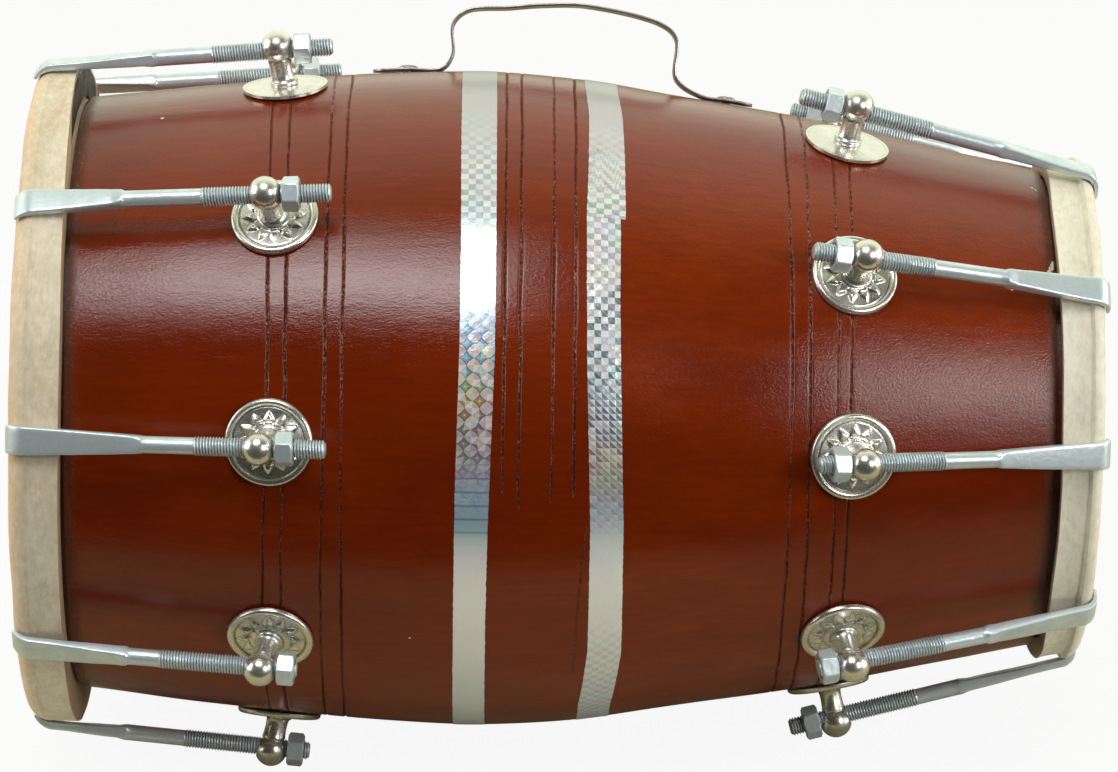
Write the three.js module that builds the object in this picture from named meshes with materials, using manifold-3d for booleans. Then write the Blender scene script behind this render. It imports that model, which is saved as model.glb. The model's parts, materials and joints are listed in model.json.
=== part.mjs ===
// Screw-tuned dholak: a two-headed barrel drum with hook bolts and a strap handle.
// Millimetres, +Z up. The drum lies on four of its eye posts with the bass head towards -X.
import * as THREE from "three";
import { mergeVertices } from "three/addons/utils/BufferGeometryUtils.js";
import Module from "manifold-3d";

const wasm = await Module();
wasm.setup();

// Barrel shell
const shellLength = 452;
const bulgeRadius = 143.6;
const bassEndRadius = 127.1;
const trebleEndRadius = 100.8;
const bulgeToBassEnd = 191;
const shellWall = 16;
const bearingEdgeRound = 3;
const bassFlareShares = [[0, 0], [0.398, 0.545], [0.712, 0.867]];
const trebleTaperShares = [[0.172, 0.932], [0.326, 0.787], [0.556, 0.568], [0.785, 0.278], [1, 0]];

// Heads: a rawhide skin lapped round a stiff hoop
const skinThickness = 1.2;
const lapThickness = 2.2;
const ringProud = 1;
const lapSlit = 1.6;
const seatGap = 0.6;
const bassRing = { rise: 18.2, backRise: 18, round: 8, length: 21.6, seatMargin: 0.8 };
const trebleRing = { rise: 10, backRise: 7.9, round: 5, length: 17.6, seatMargin: 3.2 };
const pasteRadius = 62;
const pasteThickness = 2.5;

// Eye posts and rosettes
const postFromMiddle = { bass: 120.6, treble: 121.4 };
const postLeanDeg = { bass: 6, treble: 1.5 };
const ballRadius = 7;
const ballHeight = 18.4;
const eyeBelowBall = { bass: 1.5, treble: 2.3 };
const eyeRadius = 4.7;
const columnRadius = 4.7;
const collarRadius = 5.1;
const collarHeight = 12.4;
const neckRadius = 5;
const footRadius = 6.2;
const rosetteRadius = 18.3;
const rosetteRim = 2.3;
const rosetteSheet = 1.2;
const rosetteDome = 2.4;
const studRadius = 3;
const washerRadius = 9;
const washerThickness = 1.5;
const innerNutRadius = 5.5;
const innerNutHeight = 5;

// Hook bolts and nuts
const rodRadius = 4;
const shankRadius = 3.55;
const threadPitch = 1.25;
const armThickness = 3.8;
const armWidth = 11.9;
const armRootWidth = 7.6;
const armRootThickness = 5.4;
const forgedStretch = 7;
const lipThickness = 2.7;
const lipSweepDeg = { bass: 46, treble: 75 };
const lipStraight = { bass: 0.4, treble: 3.6 };
const lipTipShares = [{ along: 0.5, width: 0.94 }, { along: 1, width: 0.6 }];
const nutFlats = 13;
const nutHeight = 7.2;
const nutChamfer = 1.1;
const flatFromEye = 57;
const threadFromEye = 33;
const longestTail = 14;

// Strap handle with its two screws
const strapWidth = 14;
const strapThickness = 1.3;
const strapRise = 29.5;
const strapBend = 6;
const strapCornerShare = 0.3;
const bassShoulderDrop = 3;
const trebleShoulderDrop = 7.8;
const bassFoot = { from: -84, to: -53.5 };
const trebleFoot = { from: 60, to: 83 };
const legFromMiddle = 49.2;
const screwHeadRadius = 4.2;
const screwHeadHeight = 1.5;
const screwShankRadius = 2;
const screwLength = 13;

// Clearances
const gap = 0.3;
const footGap = 0.6;
const boreGap = 0.5;
const overrun = 3;

// Rest attitude: the direction round the barrel that points at the floor
const floorDirectionDeg = -112;

// Facets
const barrelFacets = 32;
const rosetteFacets = 14;
const postFacets = 10;
const boreFacets = 8;
const hexFacets = 6;
const weldTolerance = 1e-4;

// Each hook set: its direction round the barrel, and shares of its three bolt lengths.
// 0 degrees is the front, 90 degrees the handle's side.
const bassSets = [
  { deg: 112, tailShare: 0.7, flatShare: 1.04, threadShare: 0.95 },
  { deg: 72, tailShare: 0.68, flatShare: 0.93, threadShare: 0.86 },
  { deg: 32, tailShare: 0.93, flatShare: 1.03, threadShare: 0.8 },
  { deg: -8, tailShare: 0.94, flatShare: 0.84, threadShare: 0.8 },
  { deg: -47, tailShare: 0.07, flatShare: 0.98, threadShare: 1.28 },
  { deg: -92, tailShare: 0.19, flatShare: 1.11, threadShare: 1.16 },
  { deg: -132, tailShare: 0.5, flatShare: 1, threadShare: 1 },
  { deg: -171, tailShare: 0.35, flatShare: 0.95, threadShare: 1.08 },
  { deg: 150, tailShare: 0.8, flatShare: 1.06, threadShare: 0.9 },
];
const trebleSets = [
  { deg: 113.5, tailShare: 0.55, flatShare: 0.98, threadShare: 1.05 },
  { deg: 65, tailShare: 0.77, flatShare: 1.13, threadShare: 1.01 },
  { deg: 26, tailShare: 0.6, flatShare: 1.08, threadShare: 0.9 },
  { deg: -10, tailShare: 0.38, flatShare: 1.02, threadShare: 1.05 },
  { deg: -51.5, tailShare: 0.05, flatShare: 1.04, threadShare: 1.22 },
  { deg: -94, tailShare: 0.46, flatShare: 0.98, threadShare: 1.12 },
  { deg: -130, tailShare: 0.4, flatShare: 1.03, threadShare: 1 },
  { deg: -169, tailShare: 0.64, flatShare: 1, threadShare: 0.94 },
  { deg: 151, tailShare: 0.3, flatShare: 1.07, threadShare: 1.1 },
];

// Materials
const paint = (color, roughness, metalness) =>
  new THREE.MeshStandardMaterial({ color, roughness, metalness });
const lacqueredWood = paint(0x5c2010, 0.25, 0);
const rawhide = paint(0xcdb996, 0.8, 0);
const hoopSteel = paint(0x77736c, 0.6, 1);
const zinc = paint(0x9aa3ab, 0.35, 1);
const nickel = paint(0xbfb9a6, 0.22, 1);
const darkSteel = paint(0x5d5f60, 0.45, 1);

// Small maths
const rad = THREE.MathUtils.degToRad;
const place = (x, z) => new THREE.Vector3(x, 0, z);

function hermite(stations, x) {
  const last = stations.length - 1;
  let i = 0;
  while (i < last - 1 && x > stations[i + 1][0]) i += 1;
  const slopeAt = (k) => {
    const a = stations[Math.max(k - 1, 0)];
    const b = stations[Math.min(k + 1, last)];
    return (b[1] - a[1]) / (b[0] - a[0]);
  };
  const [x0, y0] = stations[i];
  const [x1, y1] = stations[i + 1];
  const span = x1 - x0;
  const t = (x - x0) / span;
  const s = 1 - t;
  const bend = t * s * span * (slopeAt(i) * s - slopeAt(i + 1) * t);
  return y0 * s * s * (1 + 2 * t) + y1 * t * t * (1 + 2 * s) + bend;
}

// Solids
function weld(geometry) {
  const bare = geometry.clone();
  bare.deleteAttribute("normal");
  bare.deleteAttribute("uv");
  const merged = mergeVertices(bare, weldTolerance);
  const index = merged.index.array;
  const kept = [];
  for (let i = 0; i < index.length; i += 3) {
    const [a, b, c] = [index[i], index[i + 1], index[i + 2]];
    if (a !== b && b !== c && c !== a) kept.push(a, b, c);
  }
  merged.setIndex(kept);
  return faceOut(merged);
}

function faceOut(geometry) {
  const p = geometry.attributes.position;
  const index = geometry.index.array;
  const corner = (k) => new THREE.Vector3().fromBufferAttribute(p, index[k]);
  let volume = 0;
  for (let i = 0; i < index.length; i += 3) {
    volume += corner(i).dot(corner(i + 1).cross(corner(i + 2)));
  }
  if (volume < 0) geometry.setIndex(Array.from(index).reverse());
  return geometry;
}

function toSolid(geometry) {
  const welded = weld(geometry);
  const vertProperties = new Float32Array(welded.attributes.position.array);
  const triVerts = new Uint32Array(welded.index.array);
  return new wasm.Manifold(new wasm.Mesh({ numProp: 3, vertProperties, triVerts }));
}

function toGeometry(solid) {
  const mesh = solid.getMesh();
  const geometry = new THREE.BufferGeometry();
  geometry.setAttribute("position", new THREE.BufferAttribute(mesh.vertProperties, 3));
  geometry.setIndex(new THREE.BufferAttribute(mesh.triVerts, 1));
  return geometry;
}

// A profile of [radius, height] points turned round Z
function turned(profile, facets) {
  const points = profile.map(([r, z]) => new THREE.Vector2(r, z));
  return new THREE.LatheGeometry(points, facets).rotateX(rad(90));
}

// A profile of [radius, along] points turned round X
function turnedRoundX(profile, facets) {
  return turned(profile, facets).rotateY(rad(90));
}

function cylinderBetween(from, to, radius, facets) {
  const length = from.distanceTo(to);
  const geometry = new THREE.CylinderGeometry(radius, radius, length, facets);
  const direction = to.clone().sub(from).normalize();
  const upright = new THREE.Vector3(0, 1, 0);
  geometry.applyQuaternion(new THREE.Quaternion().setFromUnitVectors(upright, direction));
  const middle = from.clone().add(to).multiplyScalar(0.5);
  return geometry.translate(middle.x, middle.y, middle.z);
}

// Skins a row of equal-sized rings of points and closes both ends
function loft(rings) {
  const count = rings[0].length;
  const points = rings.flat();
  const faces = [];
  for (let k = 0; k < rings.length - 1; k += 1) {
    for (let i = 0; i < count; i += 1) {
      const j = (i + 1) % count;
      const [a, b] = [k * count + i, k * count + j];
      faces.push(a, b, a + count, b, b + count, a + count);
    }
  }
  const top = (rings.length - 1) * count;
  for (let i = 1; i < count - 1; i += 1) {
    faces.push(0, i + 1, i);
    faces.push(top, top + i, top + i + 1);
  }
  const geometry = new THREE.BufferGeometry().setFromPoints(points);
  geometry.setIndex(faces);
  return faceOut(geometry);
}

// Eight points of a bar's section, across Y and along the normal in the XZ plane
function barRing(centre, normal, width, thickness, cornerShare) {
  const w = width / 2;
  const t = thickness / 2;
  const c = Math.min(w, t) * cornerShare;
  const upper = [[w, t - c], [w - c, t], [c - w, t], [-w, t - c]];
  const lower = [[-w, c - t], [c - w, -t], [w - c, -t], [w, c - t]];
  const outline = [...upper, ...lower];
  return outline.map(([y, n]) => centre.clone().addScaledVector(normal, n).setY(y));
}

// Barrel outline
const bulgeX = bulgeToBassEnd - shellLength / 2;
const bulgeToTrebleEnd = shellLength - bulgeToBassEnd;
const shellStations = [
  ...bassFlareShares.map(([along, rise]) => [
    bulgeX - bulgeToBassEnd * (1 - along),
    bassEndRadius + (bulgeRadius - bassEndRadius) * rise,
  ]),
  [bulgeX, bulgeRadius],
  ...trebleTaperShares.map(([along, rise]) => [
    bulgeX + bulgeToTrebleEnd * along,
    trebleEndRadius + (bulgeRadius - trebleEndRadius) * rise,
  ]),
];
const shellRadiusAt = (x) => hermite(shellStations, x);

// Each side works in its own frame: +X from the middle of the drum towards its head
const sides = {
  bass: { turn: -1, ring: bassRing, endRadius: bassEndRadius, sets: bassSets, paste: true },
  treble: { turn: 1, ring: trebleRing, endRadius: trebleEndRadius, sets: trebleSets, paste: false },
};
const sideRadiusAt = (side, x) => shellRadiusAt(side.turn * x);

for (const [name, side] of Object.entries(sides)) {
  const x = postFromMiddle[name];
  const step = rosetteRadius;
  side.lipSweepDeg = lipSweepDeg[name];
  side.lipStraight = lipStraight[name];
  side.postX = x;
  side.seat = sideRadiusAt(side, x);
  side.slope = Math.atan2(sideRadiusAt(side, x - step) - sideRadiusAt(side, x + step), 2 * step);
  side.lean = side.slope + rad(postLeanDeg[name]);
  const stand = gap + ballHeight;
  side.ballPlace = place(x + Math.sin(side.lean) * stand, side.seat + Math.cos(side.lean) * stand);
  const eyeStand = stand - eyeBelowBall[name];
  side.eye = place(x + Math.sin(side.lean) * eyeStand, side.seat + Math.cos(side.lean) * eyeStand);
  side.front = shellLength / 2 + gap + skinThickness + ringProud;
  side.ringRadius = side.endRadius + side.ring.rise;
  side.backRadius = side.endRadius + side.ring.backRise;
  side.seatStart = side.front - side.ring.length - side.ring.seatMargin;
  side.roundCentre = place(side.front - side.ring.round, side.ringRadius - side.ring.round);
  const reach = side.ring.round + gap + armThickness / 2;
  const toCentre = side.roundCentre.clone().sub(side.eye);
  side.fall = Math.atan2(-toCentre.z, toCentre.x) - Math.asin(reach / toCentre.length());
  side.bendStart = Math.sqrt(toCentre.lengthSq() - reach * reach);
}

// Shell: a hollow barrel with a straight seat for each ring, bored for the posts and the screws
function makeShell() {
  const half = shellLength / 2;
  const { bass, treble } = sides;
  const outer = [];
  const steps = 8;
  for (let i = 0; i <= steps; i += 1) {
    const x = THREE.MathUtils.lerp(-bass.seatStart, treble.seatStart, i / steps);
    outer.push([shellRadiusAt(x), x]);
  }
  const inner = outer.map(([r, x]) => [r - shellWall, x]);
  const profile = [
    [bassEndRadius - shellWall, -half],
    [bassEndRadius - bearingEdgeRound, -half],
    [bassEndRadius, -half + bearingEdgeRound],
    [bassEndRadius, -bass.seatStart],
    ...outer,
    [trebleEndRadius, treble.seatStart],
    [trebleEndRadius, half - bearingEdgeRound],
    [trebleEndRadius - bearingEdgeRound, half],
    [trebleEndRadius - shellWall, half],
    ...inner.reverse(),
  ];
  profile.push(profile[0]);
  let shell = toSolid(turnedRoundX(profile, barrelFacets));
  for (const side of Object.values(sides)) {
    const normal = place(Math.sin(side.slope), Math.cos(side.slope));
    const seat = place(side.postX, side.seat);
    const bore = boreThrough(seat, normal, shellWall, studRadius);
    for (const { deg } of side.sets) {
      const placed = bore.clone().applyMatrix4(stationMatrix(side, deg));
      shell = shell.subtract(toSolid(placed));
    }
  }
  for (const { point, normal } of screwSeats()) {
    shell = shell.subtract(toSolid(boreThrough(point, normal, screwLength, screwShankRadius)));
  }
  return toGeometry(shell);
}

function boreThrough(point, normal, depth, radius) {
  const from = point.clone().addScaledVector(normal, -depth - overrun);
  const to = point.clone().addScaledVector(normal, overrun);
  return cylinderBetween(from, to, radius + boreGap, boreFacets);
}

// The frame of one hook set: its side's frame, turned so that +Z points outwards at the set's angle
function stationMatrix(side, deg) {
  const around = new THREE.Matrix4().makeRotationX(rad(90 - deg));
  const facing = new THREE.Matrix4().makeRotationZ(side.turn < 0 ? rad(180) : 0);
  return around.multiply(facing);
}

// Ring section: points of the lap from the front round to the back, moved inwards by an offset
function ringOutline(side, offset, arcSteps) {
  const { ring, front, roundCentre } = side;
  const points = [];
  for (let i = 0; i <= arcSteps; i += 1) {
    const a = rad((90 * i) / arcSteps);
    const r = ring.round - offset;
    points.push([roundCentre.z + r * Math.sin(a), roundCentre.x + r * Math.cos(a)]);
  }
  points.push([side.backRadius - offset, front - ring.length + offset]);
  return points;
}

function makeSkin(side) {
  const { front, ring, roundCentre } = side;
  const face = front - ringProud;
  const back = front - ring.length;
  const inside = face - skinThickness;
  const inner = side.endRadius + seatGap;
  const tuck = inside - lapSlit;
  const profile = [
    [0, face],
    [inner, face],
    [(inner + roundCentre.z) / 2, front],
    ...ringOutline(side, 0, 3),
    [inner, back],
    [inner, tuck],
    [inner + lapThickness, tuck],
    [inner + lapThickness, back + lapThickness],
    ...ringOutline(side, lapThickness, 2).reverse(),
    [inner, inside],
  ];
  if (side.paste) {
    profile.push([pasteRadius + pasteThickness, inside], [pasteRadius, inside - pasteThickness]);
  }
  profile.push([0, profile[profile.length - 1][1]]);
  return weld(turnedRoundX(profile, barrelFacets));
}

function makeHoop(side) {
  const { front, ring } = side;
  const inner = side.endRadius + seatGap + lapThickness + gap;
  const back = front - ring.length + lapThickness + gap;
  const tuck = front - ringProud - skinThickness - lapSlit;
  const profile = [...ringOutline(side, lapThickness + gap, 2), [inner, back], [inner, tuck]];
  profile.push(profile[0]);
  return weld(turnedRoundX(profile, barrelFacets));
}

// Eye post, with the rosette and the inner washer and nut that clamp it
function makePost(side) {
  const ballArc = [];
  const arcSteps = 3;
  const arcStart = -Math.acos(neckRadius / ballRadius);
  for (let i = 0; i < arcSteps; i += 1) {
    const a = arcStart + ((rad(90) - arcStart) * i) / arcSteps;
    ballArc.push([ballRadius * Math.cos(a), ballHeight + ballRadius * Math.sin(a)]);
  }
  const column = [
    [0, rosetteSheet],
    [footRadius, rosetteSheet],
    [columnRadius, rosetteDome + rosetteSheet],
    [collarRadius, collarHeight],
    ...ballArc,
    [0, ballHeight + ballRadius],
  ];
  const rosette = [
    [0, 0],
    [rosetteRadius, 0],
    [rosetteRadius - rosetteRim / 2, rosetteRim],
    [rosetteRadius - rosetteRim, rosetteSheet],
    [footRadius + rosetteSheet, rosetteDome],
    [0, rosetteDome],
  ];
  const hollow = side.seat - shellWall;
  const curveDrop = hollow - Math.sqrt(hollow ** 2 - washerRadius ** 2);
  const facetDrop = hollow * (1 - Math.cos(Math.PI / barrelFacets));
  const washerTop = -shellWall - curveDrop - facetDrop - 2 * gap;
  const nutTop = washerTop - washerThickness;
  const clamp = [
    [0, nutTop - innerNutHeight],
    [innerNutRadius, nutTop - innerNutHeight],
    [innerNutRadius, nutTop],
    [washerRadius, nutTop],
    [washerRadius, washerTop],
    [studRadius, washerTop],
    [studRadius, rosetteSheet / 2],
    [0, rosetteSheet / 2],
  ];
  const onSeat = (geometry, tilt) => toSolid(geometry.clone().translate(0, 0, gap).rotateY(tilt)
    .translate(side.postX, 0, side.seat));
  const along = place(Math.cos(side.fall), -Math.sin(side.fall)).multiplyScalar(ballRadius + overrun);
  const eyeEnds = [side.eye.clone().sub(along), side.eye.clone().add(along)];
  const bore = cylinderBetween(...eyeEnds, eyeRadius, boreFacets);
  const post = onSeat(turned(rosette, rosetteFacets), side.slope)
    .add(onSeat(turned(column, postFacets), side.lean))
    .add(onSeat(turned(clamp, hexFacets), side.slope))
    .subtract(toSolid(bore));
  return toGeometry(post);
}

function hexCorner(flats) {
  return flats / 2 / Math.cos(rad(30));
}

// Hook bolt along its own +X from the eye: thread, shank, hammered arm, lip over the ring
function makeHook(side, { tailShare, flatShare, threadShare }) {
  const up = place(0, 1);
  const round = 2 - Math.SQRT2;
  const threadFlats = 2 * rodRadius * Math.cos(Math.PI / 8);
  const shankFlats = 2 * shankRadius * Math.cos(Math.PI / 8);
  const tail = -(ballRadius + nutHeight + longestTail * tailShare);
  const threadEnd = threadFromEye * threadShare;
  const flatStart = flatFromEye * flatShare;
  const rings = [];
  const add = (x, width, thickness, corner) => {
    rings.push(barRing(place(x, 0), up, width, thickness, corner));
  };
  add(tail, threadFlats, threadFlats, round);
  add(threadEnd, threadFlats, threadFlats, round);
  add(threadEnd + threadPitch / 2, shankFlats, shankFlats, round);
  add(flatStart, shankFlats, shankFlats, round);
  add(flatStart + forgedStretch, armRootWidth, armRootThickness, round / 2);
  add(side.bendStart, armWidth, armThickness, round / 2);
  const reach = side.ring.round + gap;
  const hub = place(side.bendStart, -reach - armThickness / 2);
  const sweep = rad(side.lipSweepDeg);
  const bendSteps = 3;
  for (let i = 1; i <= bendSteps; i += 1) {
    const a = (sweep * i) / bendSteps;
    const thickness = armThickness + ((lipThickness - armThickness) * i) / bendSteps;
    const normal = place(Math.sin(a), Math.cos(a));
    const centre = hub.clone().addScaledVector(normal, reach + thickness / 2);
    rings.push(barRing(centre, normal, armWidth, thickness, round / 2));
  }
  const inward = place(Math.cos(sweep), -Math.sin(sweep));
  const normal = place(Math.sin(sweep), Math.cos(sweep));
  const bendEnd = hub.clone().addScaledVector(normal, reach + lipThickness / 2);
  for (const { along, width } of lipTipShares) {
    const centre = bendEnd.clone().addScaledVector(inward, (side.lipStraight + lipThickness / 2) * along);
    rings.push(barRing(centre, normal, armWidth * width, lipThickness, round / 2));
  }
  return loft(rings);
}

// Hexagon nut along X, chamfered at both faces and bored to run on the thread
function makeNut() {
  const corner = hexCorner(nutFlats);
  const half = nutHeight / 2;
  const profile = [
    [0, -half],
    [corner - nutChamfer, -half],
    [corner, nutChamfer - half],
    [corner, half - nutChamfer],
    [corner - nutChamfer, half],
    [0, half],
  ];
  const ends = [place(-half - overrun, 0), place(half + overrun, 0)];
  const bore = cylinderBetween(...ends, rodRadius + boreGap, boreFacets);
  return toGeometry(toSolid(turnedRoundX(profile, hexFacets)).subtract(toSolid(bore)));
}

// Handle: where its screws stand, and the middle line of its strap
function shellSeat(x, lift) {
  const step = strapWidth / 2;
  const fall = Math.atan2(shellRadiusAt(x - step) - shellRadiusAt(x + step), 2 * step);
  const normal = place(Math.sin(fall), Math.cos(fall));
  return { point: place(x, shellRadiusAt(x)).addScaledVector(normal, lift), normal };
}

function screwSeats() {
  return [bassFoot, trebleFoot].map(({ from, to }) => shellSeat((from + to) / 2, footGap));
}

function strapLine() {
  const lift = footGap + strapThickness / 2;
  const top = bulgeRadius + strapRise;
  const onShell = (x) => shellSeat(x, lift).point;
  const leg = legFromMiddle;
  const bassShoulder = top - bassShoulderDrop;
  const trebleShoulder = top - trebleShoulderDrop;
  return [
    onShell(bassFoot.from),
    onShell((bassFoot.from + bassFoot.to) / 2),
    onShell(bassFoot.to),
    place(-leg, shellRadiusAt(-leg) + lift + strapBend),
    place(-leg, bassShoulder - strapBend),
    place(-leg + strapBend, bassShoulder),
    place(-leg / 2, top - strapThickness),
    place(-leg / 5, top),
    place(leg / 5, top),
    place(leg - strapBend, trebleShoulder),
    place(leg, trebleShoulder - strapBend),
    place(leg, shellRadiusAt(leg) + lift + strapBend),
    onShell(trebleFoot.from),
    onShell((trebleFoot.from + trebleFoot.to) / 2),
    onShell(trebleFoot.to),
  ];
}

function makeHandle() {
  const curve = new THREE.CatmullRomCurve3(strapLine(), false, "centripetal");
  const steps = 26;
  const rings = [];
  for (let i = 0; i <= steps; i += 1) {
    const tangent = curve.getTangentAt(i / steps);
    const normal = place(-tangent.z, tangent.x);
    rings.push(barRing(curve.getPointAt(i / steps), normal, strapWidth, strapThickness, strapCornerShare));
  }
  let handle = toSolid(loft(rings));
  for (const { point, normal } of screwSeats()) {
    const at = (height) => point.clone().addScaledVector(normal, height);
    const shank = cylinderBetween(at(-screwLength), at(strapThickness), screwShankRadius, boreFacets);
    const head = cylinderBetween(at(strapThickness / 2), at(strapThickness + screwHeadHeight),
      screwHeadRadius, postFacets);
    handle = handle.add(toSolid(shank)).add(toSolid(head));
  }
  return toGeometry(handle);
}

// Assembly
function named(name, geometry, material) {
  const mesh = new THREE.Mesh(geometry, material);
  mesh.name = name;
  return mesh;
}

const dholak = new THREE.Group();
const drum = new THREE.Group();
dholak.add(drum);
drum.add(named("shell", makeShell(), lacqueredWood));
drum.add(named("handle", makeHandle(), darkSteel));
const nutGeometry = makeNut();

for (const [name, side] of Object.entries(sides)) {
  const head = new THREE.Group();
  head.rotation.z = side.turn < 0 ? rad(180) : 0;
  head.add(named(`${name}_skin`, makeSkin(side), rawhide));
  head.add(named(`${name}_hoop`, makeHoop(side), hoopSteel));
  drum.add(head);
  const postGeometry = makePost(side);
  side.sets.forEach((set, i) => {
    const station = new THREE.Group();
    station.applyMatrix4(stationMatrix(side, set.deg));
    station.add(named(`${name}_post_${i + 1}`, postGeometry, nickel));
    const bolt = new THREE.Group();
    bolt.position.copy(side.eye);
    bolt.rotation.y = side.fall;
    bolt.add(named(`${name}_hook_${i + 1}`, makeHook(side, set), zinc));
    const nut = named(`${name}_nut_${i + 1}`, nutGeometry, zinc);
    nut.position.x = -(ballRadius + nutHeight / 2);
    nut.rotation.x = rad(set.deg);
    bolt.add(nut);
    station.add(bolt);
    drum.add(station);
  });
}

// Lay the drum on its four lowest posts and put the origin under its middle
function lowestBall(side) {
  const tilts = side.sets.map(({ deg }) => Math.abs(deg - floorDirectionDeg));
  const nearest = Math.min(...tilts);
  return { x: side.turn * side.ballPlace.x, drop: side.ballPlace.z * Math.cos(rad(nearest)) };
}
const bassRest = lowestBall(sides.bass);
const trebleRest = lowestBall(sides.treble);
const pitch = Math.atan2(bassRest.drop - trebleRest.drop, trebleRest.x - bassRest.x);
drum.rotation.set(rad(90 + floorDirectionDeg), pitch, 0, "YXZ");
drum.updateMatrixWorld(true);
const box = new THREE.Box3().setFromObject(drum, true);
const middle = box.getCenter(new THREE.Vector3());
drum.position.set(-middle.x, -middle.y, -box.min.z);

export default dholak;
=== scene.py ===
# Dholak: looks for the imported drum. The drum's own frame has X along the barrel towards the
# treble head, the front at -Y and the handle at +Z, in millimetres until a mesh is made.
import json
import math
import bpy
import bmesh
import numpy as np
from functools import partial
from mathutils import Matrix, Vector


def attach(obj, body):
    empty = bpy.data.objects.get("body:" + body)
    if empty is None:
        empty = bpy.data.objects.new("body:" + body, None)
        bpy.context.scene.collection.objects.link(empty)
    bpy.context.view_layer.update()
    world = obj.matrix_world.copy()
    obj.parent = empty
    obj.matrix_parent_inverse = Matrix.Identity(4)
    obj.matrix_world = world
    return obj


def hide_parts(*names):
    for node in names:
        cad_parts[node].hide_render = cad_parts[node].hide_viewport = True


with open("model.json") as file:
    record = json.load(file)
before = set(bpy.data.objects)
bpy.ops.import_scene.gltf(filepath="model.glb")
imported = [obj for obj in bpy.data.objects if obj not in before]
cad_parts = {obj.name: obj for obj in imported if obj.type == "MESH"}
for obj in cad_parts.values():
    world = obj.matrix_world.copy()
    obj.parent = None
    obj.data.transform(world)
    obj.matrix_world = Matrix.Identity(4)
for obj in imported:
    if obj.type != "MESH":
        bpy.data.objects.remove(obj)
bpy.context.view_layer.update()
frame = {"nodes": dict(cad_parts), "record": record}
mm = 0.001
halfTurn, fullTurn = math.pi, 2 * math.pi
joints = {joint["name"]: joint for joint in frame["record"]["behaviour"]["joints"]}
mounts = {mount["name"]: mount for mount in frame["record"]["mounts"]}

# the drum's frame, from its two head faces and the lean of its handle; a face's mount has its
# place along the drum, its radius and its degrees round the axis
leanBack = math.radians(22)
mountPlaces = {"bass_head_face": (-227.5, 63.543, -151.875), "treble_head_face": (227.5, 50.456, -73.125)}
alongDrum = Vector(mounts["treble_head_face"]["axis"]).normalized()
levelBack = Vector((0, 1, 0))
levelUp = alongDrum.cross(levelBack)
drumBack = levelBack * math.cos(leanBack) - levelUp * math.sin(leanBack)
drumUp = levelBack * math.sin(leanBack) + levelUp * math.cos(leanBack)


def matrixFrom(xAxis, yAxis, zAxis, origin):
    return Matrix([list(row) for row in zip(xAxis, yAxis, zAxis, origin)] + [[0, 0, 0, 1]])


def middleFrom(name):
    # the drum's middle as one head's mount gives it
    x, radius, degrees = mountPlaces[name]
    turn = math.radians(degrees)
    place = alongDrum * x + (drumUp * math.sin(turn) - drumBack * math.cos(turn)) * radius
    return Vector(mounts[name]["pos_m"]) - place * mm


drumMiddle = (middleFrom("bass_head_face") + middleFrom("treble_head_face")) / 2
drumMatrix = matrixFrom(alongDrum, drumBack, drumUp, drumMiddle)

# camera
camera = {"distance": 2123.84, "right": 0.1449, "up": 5.7355, "yaw": 0.0122, "roll": 0.0171,
          "focalPixels": 4818.0, "imageWidth": 1118, "sensor": 36.0}


def makeCamera():
    data = bpy.data.cameras.new("camera")
    data.sensor_width = camera["sensor"]
    data.lens = camera["focalPixels"] * camera["sensor"] / camera["imageWidth"]
    data.clip_end = 50
    c, s = math.cos(camera["yaw"]), math.sin(camera["yaw"])
    right, ahead, up = Vector((c, -s, 0)), Vector((s, c, 0)), Vector((0, 0, 1))
    place = right * camera["right"] - ahead * camera["distance"] + up * camera["up"]
    cr, sr = math.cos(camera["roll"]), math.sin(camera["roll"])
    seen = bpy.data.objects.new("camera", data)
    bpy.context.scene.collection.objects.link(seen)
    rolledRight, rolledUp = right * cr + up * sr, up * cr - right * sr
    seen.matrix_world = drumMatrix @ matrixFrom(rolledRight, rolledUp, -ahead, place * mm)
    bpy.context.scene.camera = seen


makeCamera()
print("camera placed")


# mesh tools
def softWaves(seed, along, turn, mostAround, mostAlong, count=12):
    # a sum of random waves that closes on itself round the barrel, about -1 to 1
    rng = np.random.default_rng(seed)
    total = 0
    for _ in range(count):
        around = rng.integers(1, mostAround + 1)
        phase = rng.uniform(0, fullTurn)
        total = total + np.cos(around * turn + rng.uniform(-mostAlong, mostAlong) * along + phase)
    return total / math.sqrt(count)


def smoothStep(low, high, value):
    share = np.clip((value - low) / (high - low), 0, 1)
    return share * share * (3 - 2 * share)


def bell(value, middle, width):
    return np.exp(-((value - middle) / width) ** 2)


def turnsOf(count):
    return np.linspace(0, fullTurn, count, endpoint=False)


def aboutX(x, r, turns, side=1):
    # points at x and radius r; side -1 puts turn 0 at the front and a quarter turn at the handle
    return np.stack(np.broadcast_arrays(x, side * r * np.cos(turns), r * np.sin(turns)), axis=-1)


def aboutZ(profile, segments):
    # profile rows of [radius, height]
    r, z = np.asarray(profile, float).T[:, :, None]
    turns = turnsOf(segments)
    return np.stack(np.broadcast_arrays(r * np.cos(turns), r * np.sin(turns), z), axis=-1)


def arc(centre, radius, fromDegrees, toDegrees, steps):
    angles = np.radians(np.linspace(fromDegrees, toDegrees, steps + 1))
    return [[centre[0] + radius * math.cos(a), centre[1] + radius * math.sin(a)] for a in angles]


def gridFaces(rows, count, joinEnds=False, capEnds=False):
    last = rows if joinEnds else rows - 1
    k, i = np.meshgrid(np.arange(last), np.arange(count), indexing="ij")
    nextRow, nextPoint = (k + 1) % rows, (i + 1) % count
    corners = [k * count + i, k * count + nextPoint, nextRow * count + nextPoint, nextRow * count + i]
    faces = np.stack(corners, axis=-1).reshape(-1, 4).tolist()
    if capEnds:
        faces += [list(range(count)), list(range((rows - 1) * count, rows * count))]
    return faces


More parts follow.
